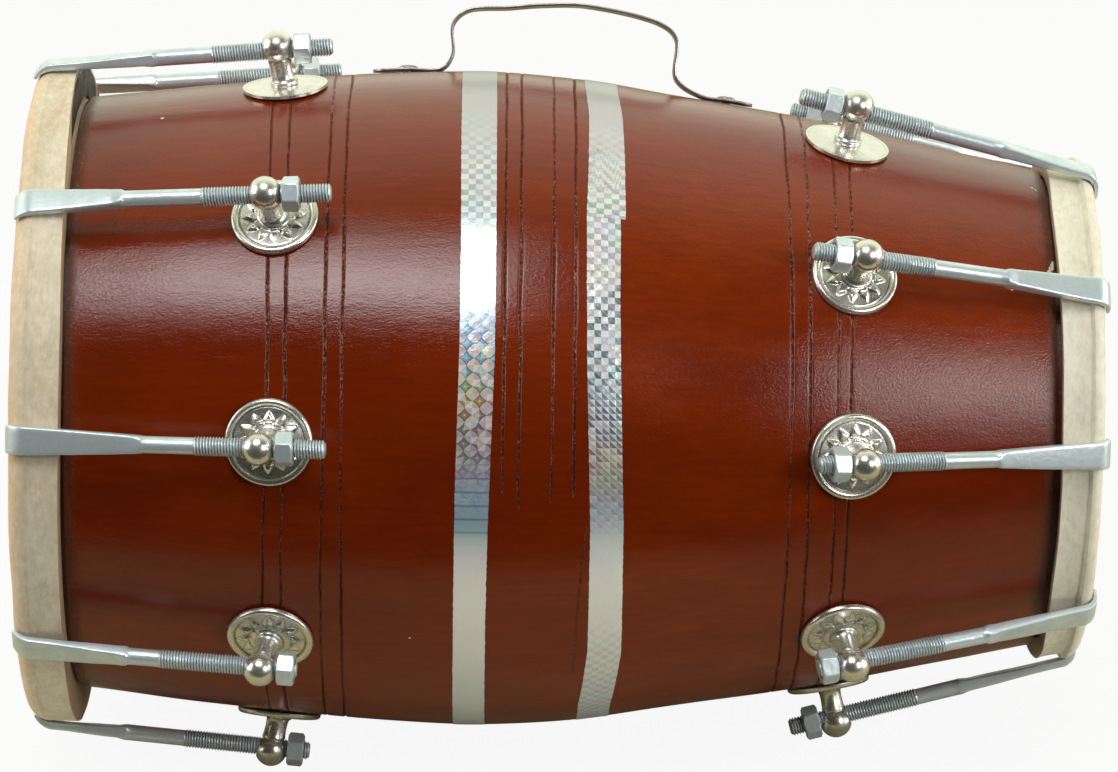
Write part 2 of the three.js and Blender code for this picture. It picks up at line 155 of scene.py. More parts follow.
def newMesh(name, points, faces, sharpDegrees=40, marks=None):
    mesh = bpy.data.meshes.new(name)
    mesh.from_pydata((np.asarray(points) * mm).tolist(), [], faces)
    for markName, values in (marks or {}).items():
        attribute = mesh.attributes.new(markName, "FLOAT", "POINT")
        attribute.data.foreach_set("value", np.asarray(values, np.float32).ravel())
    work = bmesh.new()
    work.from_mesh(mesh)
    bmesh.ops.recalc_face_normals(work, faces=work.faces)
    work.to_mesh(mesh)
    work.free()
    mesh.shade_smooth()
    mesh.set_sharp_from_angle(angle=math.radians(sharpDegrees))
    return mesh


def gridMesh(name, grid, joinEnds=False, capEnds=False, sharpDegrees=40, marks=None):
    faces = gridFaces(*grid.shape[:2], joinEnds, capEnds)
    return newMesh(name, grid.reshape(-1, 3), faces, sharpDegrees, marks)


def newObject(name, mesh, material=None, matrix=None):
    made = bpy.data.objects.new(name, mesh)
    bpy.context.scene.collection.objects.link(made)
    if matrix is not None:
        made.matrix_world = matrix
    if material is not None:
        mesh.materials.append(material)
    return made


def meshPoints(mesh):
    points = np.empty(len(mesh.vertices) * 3, np.float32)
    mesh.vertices.foreach_get("co", points)
    return points


def settle(piece, matrix):
    # the mesh moves to its place on the drum and remembers where its points were
    mesh = piece.data
    mesh.attributes.new("place", "FLOAT_VECTOR", "POINT").data.foreach_set("vector", meshPoints(mesh))
    mesh.transform(matrix)


def cutWith(piece, cutter):
    bite = piece.modifiers.new("cut", "BOOLEAN")
    bite.operation = "DIFFERENCE"
    bite.solver = "EXACT"
    bite.object = cutter
    graph = bpy.context.evaluated_depsgraph_get()
    old, piece.data = piece.data, bpy.data.meshes.new_from_object(piece.evaluated_get(graph))
    piece.modifiers.clear()
    bpy.data.meshes.remove(old)
    bpy.data.objects.remove(cutter)


# node tools: sockets go in and come out, and each new node joins the tree of its first socket
def plug(value, socket):
    if isinstance(value, bpy.types.NodeSocket):
        socket.id_data.links.new(value, socket)
    else:
        socket.default_value = (*value, 1) if socket.type == "RGBA" else value


def treeOf(*values):
    return next(value.id_data for value in values if isinstance(value, bpy.types.NodeSocket))


def addNode(tree, kind, inputs=None, **settings):
    made = tree.nodes.new(kind)
    for key, value in settings.items():
        setattr(made, key, value)
    for key, value in (inputs or {}).items():
        plug(value, made.inputs[key])
    return made


def maths(operation, value, *others, clamp=False):
    # several values are taken one after the other
    for other in others or (0.0,):
        value = addNode(treeOf(value, other), "ShaderNodeMath", {0: value, 1: other},
                        operation=operation, use_clamp=clamp).outputs[0]
    return value


times, plus, minus = partial(maths, "MULTIPLY"), partial(maths, "ADD"), partial(maths, "SUBTRACT")
most, fraction, size = partial(maths, "MAXIMUM"), partial(maths, "FRACT"), partial(maths, "ABSOLUTE")


def vectorMaths(operation, a, b=(0, 0, 0), output=0):
    return addNode(treeOf(a, b), "ShaderNodeVectorMath", {0: a, 1: b}, operation=operation).outputs[output]


stretched = partial(vectorMaths, "MULTIPLY")


def split(vector):
    return addNode(treeOf(vector), "ShaderNodeSeparateXYZ", {0: vector}).outputs


def mixed(share, a, b):
    return addNode(treeOf(share, a, b), "ShaderNodeMix", {0: share, 6: a, 7: b}, data_type="RGBA").outputs[2]


def spread(value, low, high, toLow=0.0, toHigh=1.0):
    inputs = {0: value, 1: low, 2: high, 3: toLow, 4: toHigh}
    return addNode(treeOf(value), "ShaderNodeMapRange", inputs, interpolation_type="SMOOTHSTEP").outputs[0]


def noise(vector, scale, detail=4.0, roughness=0.55, distortion=0.0):
    inputs = {"Vector": vector, "Scale": scale, "Detail": detail, "Roughness": roughness,
              "Distortion": distortion}
    return addNode(treeOf(vector), "ShaderNodeTexNoise", inputs).outputs[0]


def mark(tree, name, output="Fac"):
    return addNode(tree, "ShaderNodeAttribute", attribute_name=name).outputs[output]


def newGroup(name, inputs, outputs):
    # a socket's kind comes from its default: a number, a vector of three or a colour of four
    group = bpy.data.node_groups.new(name, "ShaderNodeTree")
    for socketName, default in inputs.items():
        kind = {3: "Vector", 4: "Color"}[len(default)] if isinstance(default, tuple) else "Float"
        socket = group.interface.new_socket(name=socketName, in_out="INPUT", socket_type="NodeSocket" + kind)
        socket.default_value = default
    for socketName in outputs:
        kind = "Color" if socketName == "Color" else "Float"
        group.interface.new_socket(name=socketName, in_out="OUTPUT", socket_type="NodeSocket" + kind)
    return group, group.nodes.new("NodeGroupInput").outputs, group.nodes.new("NodeGroupOutput").inputs


def useGroup(group, inputs):
    return addNode(treeOf(*inputs.values()), "ShaderNodeGroup", inputs, node_tree=group).outputs


def newMaterial(name, ownPlaces=True):
    # patterns lie in each piece's own frame, which its mesh keeps as "place"
    material = bpy.data.materials.new(name)
    material.use_nodes = True
    tree = material.node_tree
    shader = next(node for node in tree.nodes if node.type == "BSDF_PRINCIPLED")
    if ownPlaces:
        own = mark(tree, "place", "Vector")
    else:
        own = tree.nodes.new("ShaderNodeTexCoord").outputs["Object"]
    return material, tree, shader.inputs, own


def setBump(shader, height, strength, distance):
    inputs = {"Height": height, "Strength": strength, "Distance": distance}
    plug(addNode(treeOf(height), "ShaderNodeBump", inputs).outputs["Normal"], shader["Normal"])


# effects that several materials share
def makeMottle():
    # broad patches with finer grain over them, pulled out along an axis by Stretch
    group, given, result = newGroup("mottle", {
        "Vector": (0, 0, 0), "Stretch": (1, 1, 1), "Broad": 20.0, "Fine": 200.0, "Fine Share": 0.4,
        "Contrast": 1.0}, ["Value"])
    vector = stretched(given["Vector"], given["Stretch"])
    inputs = {0: given["Fine Share"], 2: noise(vector, given["Broad"], 3.0, 0.5, 0.4),
              3: noise(vector, given["Fine"], 5.0, 0.6)}
    both = addNode(group, "ShaderNodeMix", inputs).outputs[0]
    scaled = times(minus(both, 0.5), times(given["Contrast"], 3.0))
    plug(plus(scaled, 0.5, clamp=True), result["Value"])
    return group


def makeGrimeAndShade():
    # darkening where the mesh's own recess mark is high, broken up by noise: grime, and painted shade in the
    # hollows
    group, given, result = newGroup("grime_and_shade", {
        "Vector": (0, 0, 0), "Color": (1, 1, 1, 1), "Grime And Shade Color": (0.05, 0.04, 0.03, 1), "Amount": 0.5,
        "Scale": 400.0}, ["Color", "Mask"])
    patch = spread(noise(given["Vector"], given["Scale"], 3.0), 0.3, 0.65, 0.45, 1.0)
    mask = times(mark(group, "recess"), patch, given["Amount"], clamp=True)
    plug(mixed(mask, given["Color"], given["Grime And Shade Color"]), result["Color"])
    plug(mask, result["Mask"])
    return group


def makeScratches():
    # short fine scratches in two directions
    group, given, result = newGroup("scratches", {
        "Vector": (0, 0, 0), "Scale": 60.0, "Amount": 0.5}, ["Mask"])
    masks = []
    for stretch in ((1.0, 9.0, 9.0), (9.0, 1.2, 7.0)):
        lines = noise(stretched(given["Vector"], stretch), given["Scale"], 2.0, 0.5, 1.5)
        masks.append(spread(size(minus(lines, 0.5)), 0.0, 0.012, 1.0, 0.0))
    where = spread(noise(given["Vector"], times(given["Scale"], 0.6)), 0.5, 0.66)
    plug(times(most(*masks), where, given["Amount"]), result["Mask"])
    return group


def makeSpot():
    # one small chip, a ragged spot round a given point
    group, given, result = newGroup("spot", {
        "Vector": (0, 0, 0), "Centre": (0, 0, 0), "Radius": 0.002}, ["Mask"])
    far = vectorMaths("LENGTH", vectorMaths("SUBTRACT", given["Vector"], given["Centre"]), output="Value")
    edge = minus(far, times(noise(given["Vector"], 900.0, 2.0), given["Radius"]))
    half = times(given["Radius"], 0.5)
    plug(spread(edge, times(half, 0.6), half, 1.0, 0.0), result["Mask"])
    return group


mottleGroup, grimeAndShadeGroup, scratchGroup, spotGroup = makeMottle(), makeGrimeAndShade(), makeScratches(), makeSpot()
print("shared effects built")

# barrel outline, as the solid has it
barrel = {
    "length": 452.0, "bulgeRadius": 143.6, "bassEndRadius": 127.1, "trebleEndRadius": 100.8,
    "bulgeToBassEnd": 191.0, "wall": 16.0, "edgeRound": 3.0,
    "bassShares": [(0, 0), (0.398, 0.545), (0.712, 0.867)],
    "trebleShares": [(0.172, 0.932), (0.326, 0.787), (0.556, 0.568), (0.785, 0.278), (1, 0)],
}
bulgeX = barrel["bulgeToBassEnd"] - barrel["length"] / 2
trebleReach = barrel["length"] - barrel["bulgeToBassEnd"]
bassRise = barrel["bulgeRadius"] - barrel["bassEndRadius"]
trebleRise = barrel["bulgeRadius"] - barrel["trebleEndRadius"]
stations = np.array(
    [(bulgeX - barrel["bulgeToBassEnd"] * (1 - a), barrel["bassEndRadius"] + bassRise * b)
     for a, b in barrel["bassShares"]]
    + [(bulgeX, barrel["bulgeRadius"])]
    + [(bulgeX + trebleReach * a, barrel["trebleEndRadius"] + trebleRise * b)
       for a, b in barrel["trebleShares"]])


def shellRadius(x):
    xs, rs = stations.T
    places = np.arange(len(xs))
    before, after = np.maximum(places - 1, 0), np.minimum(places + 1, len(xs) - 1)
    slopes = (rs[after] - rs[before]) / (xs[after] - xs[before])
    i = np.clip(np.searchsorted(xs, x) - 1, 0, len(xs) - 2)
    span = xs[i + 1] - xs[i]
    t = (x - xs[i]) / span
    s = 1 - t
    bend = t * s * span * (slopes[i] * s - slopes[i + 1] * t)
    return rs[i] * s * s * (1 + 2 * t) + rs[i + 1] * t * t * (1 + 2 * s) + bend


# each side's own frame: X towards its head, Z outwards at a hook set
sides = {
    "bass": {
        "turn": -1, "endRadius": 127.1, "ringRise": 18.2, "backRise": 18.0, "ringRound": 8.0,
        "ringLength": 21.6, "seatMargin": 0.8, "postX": 120.6, "postLean": 6.0, "lipSweep": 46.0,
        "lipStraight": 0.4, "tails": [0.7, 0.68, 0.93, 0.94, 0.07, 0.19, 0.5, 0.35, 0.8],
        "flats": [1.04, 0.93, 1.03, 0.84, 0.98, 1.11, 1, 0.95, 1.06],
        "threads": [0.95, 0.86, 0.8, 0.8, 1.28, 1.16, 1, 1.08, 0.9],
    },
    "treble": {
        "turn": 1, "endRadius": 100.8, "ringRise": 10.0, "backRise": 7.9, "ringRound": 5.0,
        "ringLength": 17.6, "seatMargin": 3.2, "postX": 121.4, "postLean": 1.5, "lipSweep": 75.0,
        "lipStraight": 3.6, "tails": [0.55, 0.77, 0.6, 0.38, 0.05, 0.46, 0.4, 0.64, 0.3],
        "flats": [0.98, 1.13, 1.08, 1.02, 1.04, 0.98, 1.03, 1, 1.07],
        "threads": [1.05, 1.01, 0.9, 1.05, 1.22, 1.12, 1, 0.94, 1.1],
    },
}
headFit = {"ringProud": 1.0, "skin": 1.2, "lap": 2.2, "lapSlit": 1.6, "seatGap": 0.6, "gap": 0.3}


def solveSide(side):
    x, reach = side["postX"], postLook["edge"]
    near, seat, far = shellRadius(side["turn"] * np.array([x - reach, x, x + reach]))
    side["seat"] = float(seat)
    side["slope"] = math.atan2(near - far, 2 * reach)
    side["lean"] = side["slope"] + math.radians(side["postLean"])
    side["front"] = barrel["length"] / 2 + headFit["gap"] + headFit["skin"] + headFit["ringProud"]
    side["seatStart"] = side["front"] - side["ringLength"] - side["seatMargin"]
    side["roundX"] = side["front"] - side["ringRound"]
    side["roundR"] = side["endRadius"] + side["ringRise"] - side["ringRound"]


def hookSet(name, i):
    # the station, its angle and the bolt's frame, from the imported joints
    side = sides[name]
    eye = Vector(joints[f"{name}_nut_turn_{i}"]["pos_m"])
    outward = Vector(joints[f"{name}_hook_slide_{i}"]["axis"])
    local = drumMatrix.inverted() @ eye
    angle = math.atan2(local.z, -local.y)
    facing = Matrix.Rotation(halfTurn if side["turn"] < 0 else 0, 4, "Z")
    station = drumMatrix @ Matrix.Rotation(halfTurn / 2 - angle, 4, "X") @ facing
    along, out = station.col[0].to_3d(), station.col[2].to_3d()
    fall = math.atan2(-outward.dot(out), outward.dot(along))
    eyeHere = station.inverted() @ eye
    fromRound = math.hypot(side["roundX"] - eyeHere.x / mm, side["roundR"] - eyeHere.z / mm)
    clear = side["ringRound"] + headFit["gap"] + boltLook["halfArm"]
    side["bendStart"] = math.sqrt(fromRound ** 2 - clear ** 2)
    bolt = station @ Matrix.Translation(eyeHere) @ Matrix.Rotation(fall, 4, "Y")
    return station, angle, bolt, fall, eyeHere / mm


# barrel shell
shellLook = {"columns": 900, "rowStep": 4.0, "grooveDepth": 0.6, "grooveHalf": 0.62, "wave": 0.13,
             "chatter": 0.45, "wander": 0.16}
# each groove: places as (degrees, X), then the arc that it covers and its depth share
grooves = [
    ([(63, -124.9), (1, -121.7), (-36, -123.7), (-150, -123.0)], None, 1.0),
    ([(63, -117.2), (1, -114.3), (-36, -116.0), (-150, -115.5)], None, 1.0),
    ([(60, -99.4), (2, -98.2), (-37, -99.4), (-150, -99.0)], None, 0.9),
    ([(59, -92.1), (2, -91.2), (-37, -90.6), (-150, -91.5)], None, 1.0),
    ([(67, -25.0), (-17, -24.2), (-150, -24.6)], (-15.3, 201.0), 0.9),
    ([(68, -18.6), (-17, -17.6), (-150, -18.0)], (-17.8, 205.0), 1.0),
    ([(64, -4.8), (-17, -4.0), (-150, -4.4)], (-16.8, 198.0), 0.8),
    ([(65, 4.2), (-17, 5.1), (-150, 4.6)], (-15.8, 203.0), 1.0),
    ([(-20, 11.0), (-35, 8.6), (-52, 7.0), (120, 9.0)], (-55.0, -22.0), 0.35),
    ([(54, 94.2), (10, 95.5), (-31, 95.4), (-150, 95.0)], None, 0.9),
    ([(54, 102.4), (10, 103.0), (-31, 103.5), (-150, 103.0)], None, 0.8),
    ([(48, 114.3), (11, 114.8), (-29, 114.7), (-150, 114.6)], None, 0.9),
    ([(49, 121.2), (11, 120.3), (-30, 120.2), (-150, 120.6)], None, 1.0),
]


def throughPlaces(degrees, places, period=None):
    angles, values = zip(*sorted(places))
    return np.interp(degrees, angles, values, period=period)


def insideArc(degrees, span, ease=1.2):
    # 1 inside the arc and 0 outside it, with short ends
    if span is None:
        return np.ones_like(degrees)
    middle, half = (span[0] + span[1]) / 2, (span[1] - span[0]) / 2
    away = np.abs((degrees - middle + 180) % 360 - 180)
    return 1 - smoothStep(half - ease, half + ease, away)


shellTurns = turnsOf(shellLook["columns"])
shellDegrees = np.degrees(shellTurns)
grooveLines, grooveDepths = [], []
for number, (places, span, share) in enumerate(grooves):
    rng = np.random.default_rng(700 + number)
    wander = shellLook["wander"] * softWaves(40 + number, 0, shellTurns, 30, 0)
    rough = 1 - shellLook["chatter"] * rng.random(shellLook["columns"])
    fade = np.clip(0.72 + 0.28 * softWaves(60 + number, 0, shellTurns, 9, 0), 0.35, 1.1)
    grooveLines.append(throughPlaces(shellDegrees, places, 360) + wander)
    grooveDepths.append(share * rough * fade * insideArc(shellDegrees, span))
grooveLines, grooveDepths = np.array(grooveLines), np.array(grooveDepths)


def shellSkin(x, turns):
    # the barrel's radius with the slight hand-turned waves in it
    wave = softWaves(5, x * 0.02, turns, 5, 2.2) + 0.5 * softWaves(6, x * 0.05, turns, 11, 3.0)
    return shellRadius(x) + shellLook["wave"] * (wave - 0.8)


def makeShell():
    bass, treble = sides["bass"], sides["treble"]
    homes = grooveLines.mean(axis=1)
    fan = shellLook["grooveHalf"] * np.array([-2.6, -1.5, -1.0, -0.55, 0.0, 0.55, 1.0, 1.5, 2.6])
    start, end = -bass["seatStart"], treble["seatStart"]
    plain = np.arange(start, end, shellLook["rowStep"])
    clear = np.min(np.abs(plain[:, None] - homes), axis=1) > 2.6
    rows = np.sort(np.concatenate([plain[clear], [end], (homes[:, None] + fan).ravel()]))
    anchors = np.concatenate([[start - 1], homes, [end + 1]])
    still = np.zeros(len(shellTurns))
    shifts = np.vstack([still, grooveLines - homes[:, None], still])
    x = np.stack([np.interp(rows, anchors, column) for column in shifts.T], axis=1) + rows[:, None]
    away = np.abs(x[None] - grooveLines[:, None, :]) / shellLook["grooveHalf"]
    bite = (grooveDepths[:, None, :] * (1 - smoothStep(0.25, 1.25, away))).max(axis=0)
    r = shellSkin(x, shellTurns) - shellLook["grooveDepth"] * bite
    half, wall, edge = barrel["length"] / 2, barrel["wall"], barrel["edgeRound"]

    def endRows(sign, side):
        corner = arc([half - edge, side["endRadius"] - edge], edge, 90, 0, 6)
        profile = [[side["seatStart"], side["endRadius"]]] + corner + [[half, side["endRadius"] - wall]]
        return [(sign * px, pr, 0.0) for px, pr in profile]

    inner = [(px, shellRadius(np.array([px]))[0] - wall, 0.0) for px in np.linspace(end, start, 40)]
    rings = endRows(-1, bass)[::-1] + list(zip(x, r, bite)) + endRows(1, treble) + inner
    grid = np.array([aboutX(px, pr, shellTurns, -1) for px, pr, _ in rings])
    marks = np.array([ring[2] * np.ones_like(shellTurns) for ring in rings])
    return gridMesh("shell_lacquered", grid, joinEnds=True, marks={"groove": marks})


# foil tapes
tapes = {
    "tape_left": {
        "from": -180.0, "to": 180.0,
        "lefts": [(-180, -43.5), (-64, -43.9), (-17, -43.8), (8, -42.8), (27, -43.0), (50, -43.9),
                  (73, -44.3), (180, -43.5)],
        "rights": [(-180, -29.4), (-64, -30.3), (-40, -30.4), (-22, -30.0), (-10, -29.3), (8, -28.2),
                   (27, -28.4), (73, -29.4), (180, -29.4)],
    },
    "tape_right": {
        "from": -327.0, "to": 49.5,
        "lefts": [(-331, 9.7), (-313, 9.9), (-300, 10.2), (-287, 8.9), (-200, 9.4), (-69, 10.0),
                  (-49, 12.9), (-22, 12.5), (-14, 11.7), (5, 10.0), (17, 9.5), (33, 9.1), (50, 10.2)],
        "rights": [(-331, 25.5), (-313, 25.1), (-300, 24.5), (-287, 22.9), (-200, 23.6), (-71, 23.8),
                   (-50, 27.2), (-22, 26.3), (-14, 25.5), (5, 23.9), (17, 23.3), (33, 23.3), (50, 23.8)],
    },
}
tapeLook = {"lift": 0.03, "thick": 0.12, "lap": 0.14, "across": 9, "step": 0.5, "cell": 2.95, "width": 14.2}


def makeTape(name):
    tape = tapes[name]
    closed = tape["to"] - tape["from"] == 360
    count = int((tape["to"] - tape["from"]) / tapeLook["step"])
    degrees = np.linspace(tape["from"], tape["to"], count, endpoint=not closed)
    turns = np.radians(degrees)
    rng = np.random.default_rng(len(name))
    left, right = [throughPlaces(degrees, tape[edge]) + 0.06 * rng.standard_normal(count)
                   for edge in ("lefts", "rights")]
    shares = np.linspace(0, 1, tapeLook["across"])
    x = left + (right - left) * shares[:, None]
    lapped = tapeLook["lap"] * (1 - smoothStep(tape["from"] + 3, tape["from"] + 6, degrees)) * (not closed)
    crease = np.clip(0.05 * softWaves(11, x * 0.3, turns, 40, 2.0, 30), -0.06, 0.12)
    low = shellSkin(x, turns) + tapeLook["lift"] + lapped
    high = low + tapeLook["thick"] + crease
    grid = np.concatenate([aboutX(x, high, turns, -1), aboutX(x, low, turns, -1)[::-1]]).transpose(1, 0, 2)
    turnMarks = np.repeat((degrees + 180) % 360 - 180, grid.shape[1])
    mesh = gridMesh(name, grid, joinEnds=closed, capEnds=not closed, marks={"turn": turnMarks})
    around = np.arange(1, count + 1) * math.radians(tapeLook["step"]) * barrel["bulgeRadius"]
    u = np.concatenate([shares, shares[::-1]]) * tapeLook["width"] / tapeLook["cell"]
    v = np.repeat(around / tapeLook["cell"], len(u))
    cells = mesh.attributes.new("cells", "FLOAT_VECTOR", "POINT")
    cells.data.foreach_set("vector", np.c_[np.tile(u, count), v, 0 * v].astype(np.float32).ravel())
    return mesh


# rawhide heads lapped round their hoops
headLook = {
    "columns": 432, "wobble": 0.4, "pasteRadius": 62.0, "pasteThick": 2.5, "backWave": 0.8,
    "rolled": {"bass": 1.0, "treble": 0.1},
    "backCut": {
        "bass": [(-180, 0.5), (-60, 0.3), (12, 0), (35, 0.6), (60, 2.5), (80, 3.5), (120, 1.5)],
        "treble": [(-180, 0), (-70, 0.2), (-40, -0.9), (8, -1.4), (34, -2.2), (51, -2.8), (70, -2.3),
                   (140, 0)],
    },
}


def ringOutline(side, offset, steps):
    turnIn = arc([side["roundR"], side["roundX"]], side["ringRound"] - offset, 90, 0, steps)
    back = side["endRadius"] + side["backRise"] - offset
    rear = side["front"] - side["ringLength"] + offset
    r, x = turnIn[-1]
    shares = list(np.linspace(0.1, 0.94, steps)) + [0.985] if steps > 8 else [0.25, 0.5, 0.75, 0.94]
    return turnIn + [[back - (back - r) * s * s, x + (rear - x) * s] for s in shares] + [[back - 0.5, rear]]


def makeHead(name):
    side, fit, look = sides[name], headFit, headLook
    face = side["front"] - fit["ringProud"]
    back = side["front"] - side["ringLength"]
    inside = face - fit["skin"]
    inner = side["endRadius"] + fit["seatGap"]
    tuck, lap = inside - fit["lapSlit"], fit["lap"]
    outer = [[r, face] for r in np.linspace(1.0, inner - 2, 40)]
    outer += [[inner, face + 0.1], [(inner + side["roundR"]) / 2, side["front"] - 0.15]]
    outer += ringOutline(side, 0, 30)
    within = [[inner + 1, back + 0.3], [inner, back + 1.2], [inner, tuck], [inner + lap, tuck],
              [inner + lap, back + lap]] + ringOutline(side, lap, 6)[::-1] + [[inner, inside]]
    if name == "bass":
        paste, low = look["pasteRadius"], inside - look["pasteThick"]
        within += [[paste + look["pasteThick"], inside], [paste, low], [1.0, low]]
    else:
        within += [[1.0, inside]]
    profile = np.array(outer + within)
    turns = turnsOf(look["columns"])
    r, x = np.repeat(profile.T[:, :, None], len(turns), 2)
    shown = np.zeros((len(profile), 1))
    shown[42:len(outer)] = 1
    seed = 21 if side["turn"] < 0 else 22

    def knobs(seed, along, mostAround, count):
        return 0.5 + 0.5 * np.tanh(softWaves(seed, along, turns, mostAround, 1.2, count))

    lumps = look["wobble"] * knobs(seed, x * 0.25, 34, 26) + 0.16 * knobs(seed + 5, x * 0.8, 110, 30)
    r = r - shown * lumps
    forward = np.clip(0.45 + 0.4 * softWaves(seed + 9, 0, turns, 7, 0), 0, 1) * look["backWave"]
    forward = forward + throughPlaces(np.degrees(turns), look["backCut"][name], 360)
    x = x + forward * smoothStep(side["roundX"], back, x) * (r > inner + 0.5)
    dent = 0.5 + 0.5 * np.tanh(softWaves(seed + 3, r * 0.2, turns, 24, 1.0, 20))
    x = x - 0.5 * shown * smoothStep(side["roundX"], side["front"], x) * dent
    rolled = look["rolled"][name]
    # the rear mark picks the rows of the ring's rear face, where painted shade goes
    rear = np.zeros_like(r)
    rear[len(outer) - 1:len(outer) + 3] = 1
    # the recess mark darkens the crease behind the rolled edge with grime and painted shade
    marks = {
        "roll": shown * smoothStep(side["roundX"] - 1, side["front"] - 1.0, x) * rolled,
        "worn": (1 - smoothStep(0.2, 0.75, r / inner)) * (x > inside + 0.1), "rear": rear,
        "recess": 0.25 * bell(x, side["roundX"] + 0.4, 0.6) * shown * rolled,
        "pale": np.full_like(r, side["turn"] > 0)}
    grid = aboutX(side["turn"] * x, r, turns, -1)
    return gridMesh(f"{name}_hide", grid, capEnds=True, sharpDegrees=55, marks=marks)


# eye posts with their rosettes and inner clamps
postLook = {
    "segments": 64, "ballRadius": 7.0, "ballHeight": 18.4, "eyeRadius": 4.3, "overrun": 4.0, "neck": 5.0,
    "rosetteSegments": 192, "teeth": 12, "starRadius": 11.7, "starSwing": 2.2, "starRise": 1.05,
    "facet": 2.4, "bossTop": 6.2, "bossFoot": 8.5, "bossRise": 1.6, "rimMiddle": 16.75, "rimHalf": 1.55,
    "rimRise": 1.25, "edge": 18.3, "sheet": 1.0, "bend": 0.5,
    "washerRadius": 9.0, "washerThick": 1.5, "nutRadius": 5.5, "nutHeight": 5.0, "plainDiscs": (1, 2),
    "column": [[0.05, 1.2], [5.7, 1.2], [6.0, 2.0], [6.05, 2.9], [5.85, 3.4], [5.3, 3.7], [5.0, 4.2],
               [4.8, 5.2], [4.7, 6.6], [4.7, 8.4], [4.8, 10.0], [4.95, 11.4], [5.1, 12.2], [5.15, 12.7],
               [5.0, 13.2]],
}


def hexagonRadius(turns, cornerRadius):
    return cornerRadius * math.cos(halfTurn / 6) / np.cos(turns % (fullTurn / 6) - fullTurn / 12)


def tiltedUp(points, tilt):
    # points about the seat, lifted off it and leaned towards the head
    x, y, z = points[..., 0], points[..., 1], points[..., 2] + headFit["gap"]
    c, s = math.cos(tilt), math.sin(tilt)
    return np.stack([x * c + z * s, y, z * c - x * s], axis=-1)


def makeColumn(side, eye, fall):
    look = postLook
    fromNeck = -math.degrees(math.acos(look["neck"] / look["ballRadius"]))
    ball = arc([0, look["ballHeight"]], look["ballRadius"], fromNeck, 89.4, 22)
    grid = tiltedUp(aboutZ(look["column"] + ball, look["segments"]), side["lean"])
    column = newObject("column", gridMesh("column", grid, capEnds=True))
    long = look["ballRadius"] + look["overrun"]
    bore = aboutZ([[look["eyeRadius"], -long], [look["eyeRadius"], long]], look["segments"])
    middle = Vector((eye.x - side["postX"], 0, eye.z - side["seat"])) * mm
    turned = Matrix.Translation(middle) @ Matrix.Rotation(halfTurn / 2 + fall, 4, "Y")
    cutWith(column, newObject("bore", gridMesh("bore", bore, capEnds=True), matrix=turned))
    made = meshPoints(column.data).reshape(-1, 3) / mm, [list(face.vertices) for face in column.data.polygons]
    bpy.data.objects.remove(column)
    return made


def makeRosette(side, phase, plain):
    # a pressed disc: domed boss, pointed star cut in facets, rolled rim; some are plain washers
    look = postLook
    turns = turnsOf(look["rosetteSegments"])
    radii = np.concatenate([np.linspace(5.2, 14.9, 46), np.linspace(15.05, look["edge"], 15)])
    r = np.repeat(radii[:, None], len(turns), axis=1)
    # recess marks the disc's hollows for darkening with grime and painted shade
    if plain:
        height = look["sheet"] + 0.5 * (1 - r / look["edge"]) + 0.25 * smoothStep(17.2, 17.6, r)
        recess = 0.5 * (r < 6.0) + 0.25 * (np.abs(r - 17.0) < 0.3)
    else:
        tooth = np.abs(((turns + phase) * look["teeth"] / fullTurn) % 1 * 2 - 1) * 2 - 1
        inside = look["starRadius"] + look["starSwing"] * tooth - r
        star = look["starRise"] * np.clip(inside / look["facet"], 0, 1)
        boss = look["bossRise"] * (1 - smoothStep(look["bossTop"], look["bossFoot"], r))
        rim = np.sqrt(np.clip(1 - ((r - look["rimMiddle"]) / look["rimHalf"]) ** 2, 0, 1)) * look["rimRise"]
        dish = 0.3 * (bell(r, 9.0, 0.45) + bell(r, 15.0, 0.35))
        height = look["sheet"] + np.maximum(star, boss) - dish + rim
        recess = 0.8 * bell(inside, -0.5, 0.5) + bell(r, 15.0, 0.4)
        recess = np.clip(recess + 0.8 * bell(r, 9.0, 0.5) + 0.7 * (r < 6.3), 0, 1)
    under = np.where(radii > 17.7, 0.0, 0.15)[::-1, None] * np.ones_like(turns)
    r, height = np.concatenate([r, r[::-1]]), np.concatenate([height, under])
    y = r * np.sin(turns)
    height = height - look["bend"] * y ** 2 / (2 * side["seat"]) + 0.35 * look["bend"]
    grid = tiltedUp(np.stack([r * np.cos(turns), y, height], axis=-1), side["slope"])
    marks = np.concatenate([recess, recess[::-1]]).ravel()
    return grid.reshape(-1, 3), gridFaces(*grid.shape[:2], joinEnds=True), marks


def makeClamp(side):
    # stud through the wall, washer and hexagon nut inside
    look = postLook
    hollow = side["seat"] - barrel["wall"]
    facetDrop = hollow * (1 - math.cos(halfTurn / 32))
    drop = hollow - math.sqrt(hollow ** 2 - look["washerRadius"] ** 2) + facetDrop
    top = -barrel["wall"] - drop - 2 * headFit["gap"]
    under = top - look["washerThick"]
    low = under - look["nutHeight"]
    turns = turnsOf(48)
    flats = hexagonRadius(turns + 0.01, look["nutRadius"])
    round1 = np.ones_like(turns)
    rows = [(3.4 * round1, low - 1.2), (3.4 * round1, low), (np.minimum(4.9, flats), low), (flats, low + 0.5),
            (flats, under), (8.6 * round1, under), (9.0 * round1, under + 0.3), (9.0 * round1, top - 0.3),
            (8.6 * round1, top), (3.0 * round1, top), (3.0 * round1, 1.1)]
    grid = np.array([np.stack([r * np.cos(turns), r * np.sin(turns), z * round1], axis=-1) for r, z in rows])
    return tiltedUp(grid, side["slope"]).reshape(-1, 3), gridFaces(*grid.shape[:2], capEnds=True)


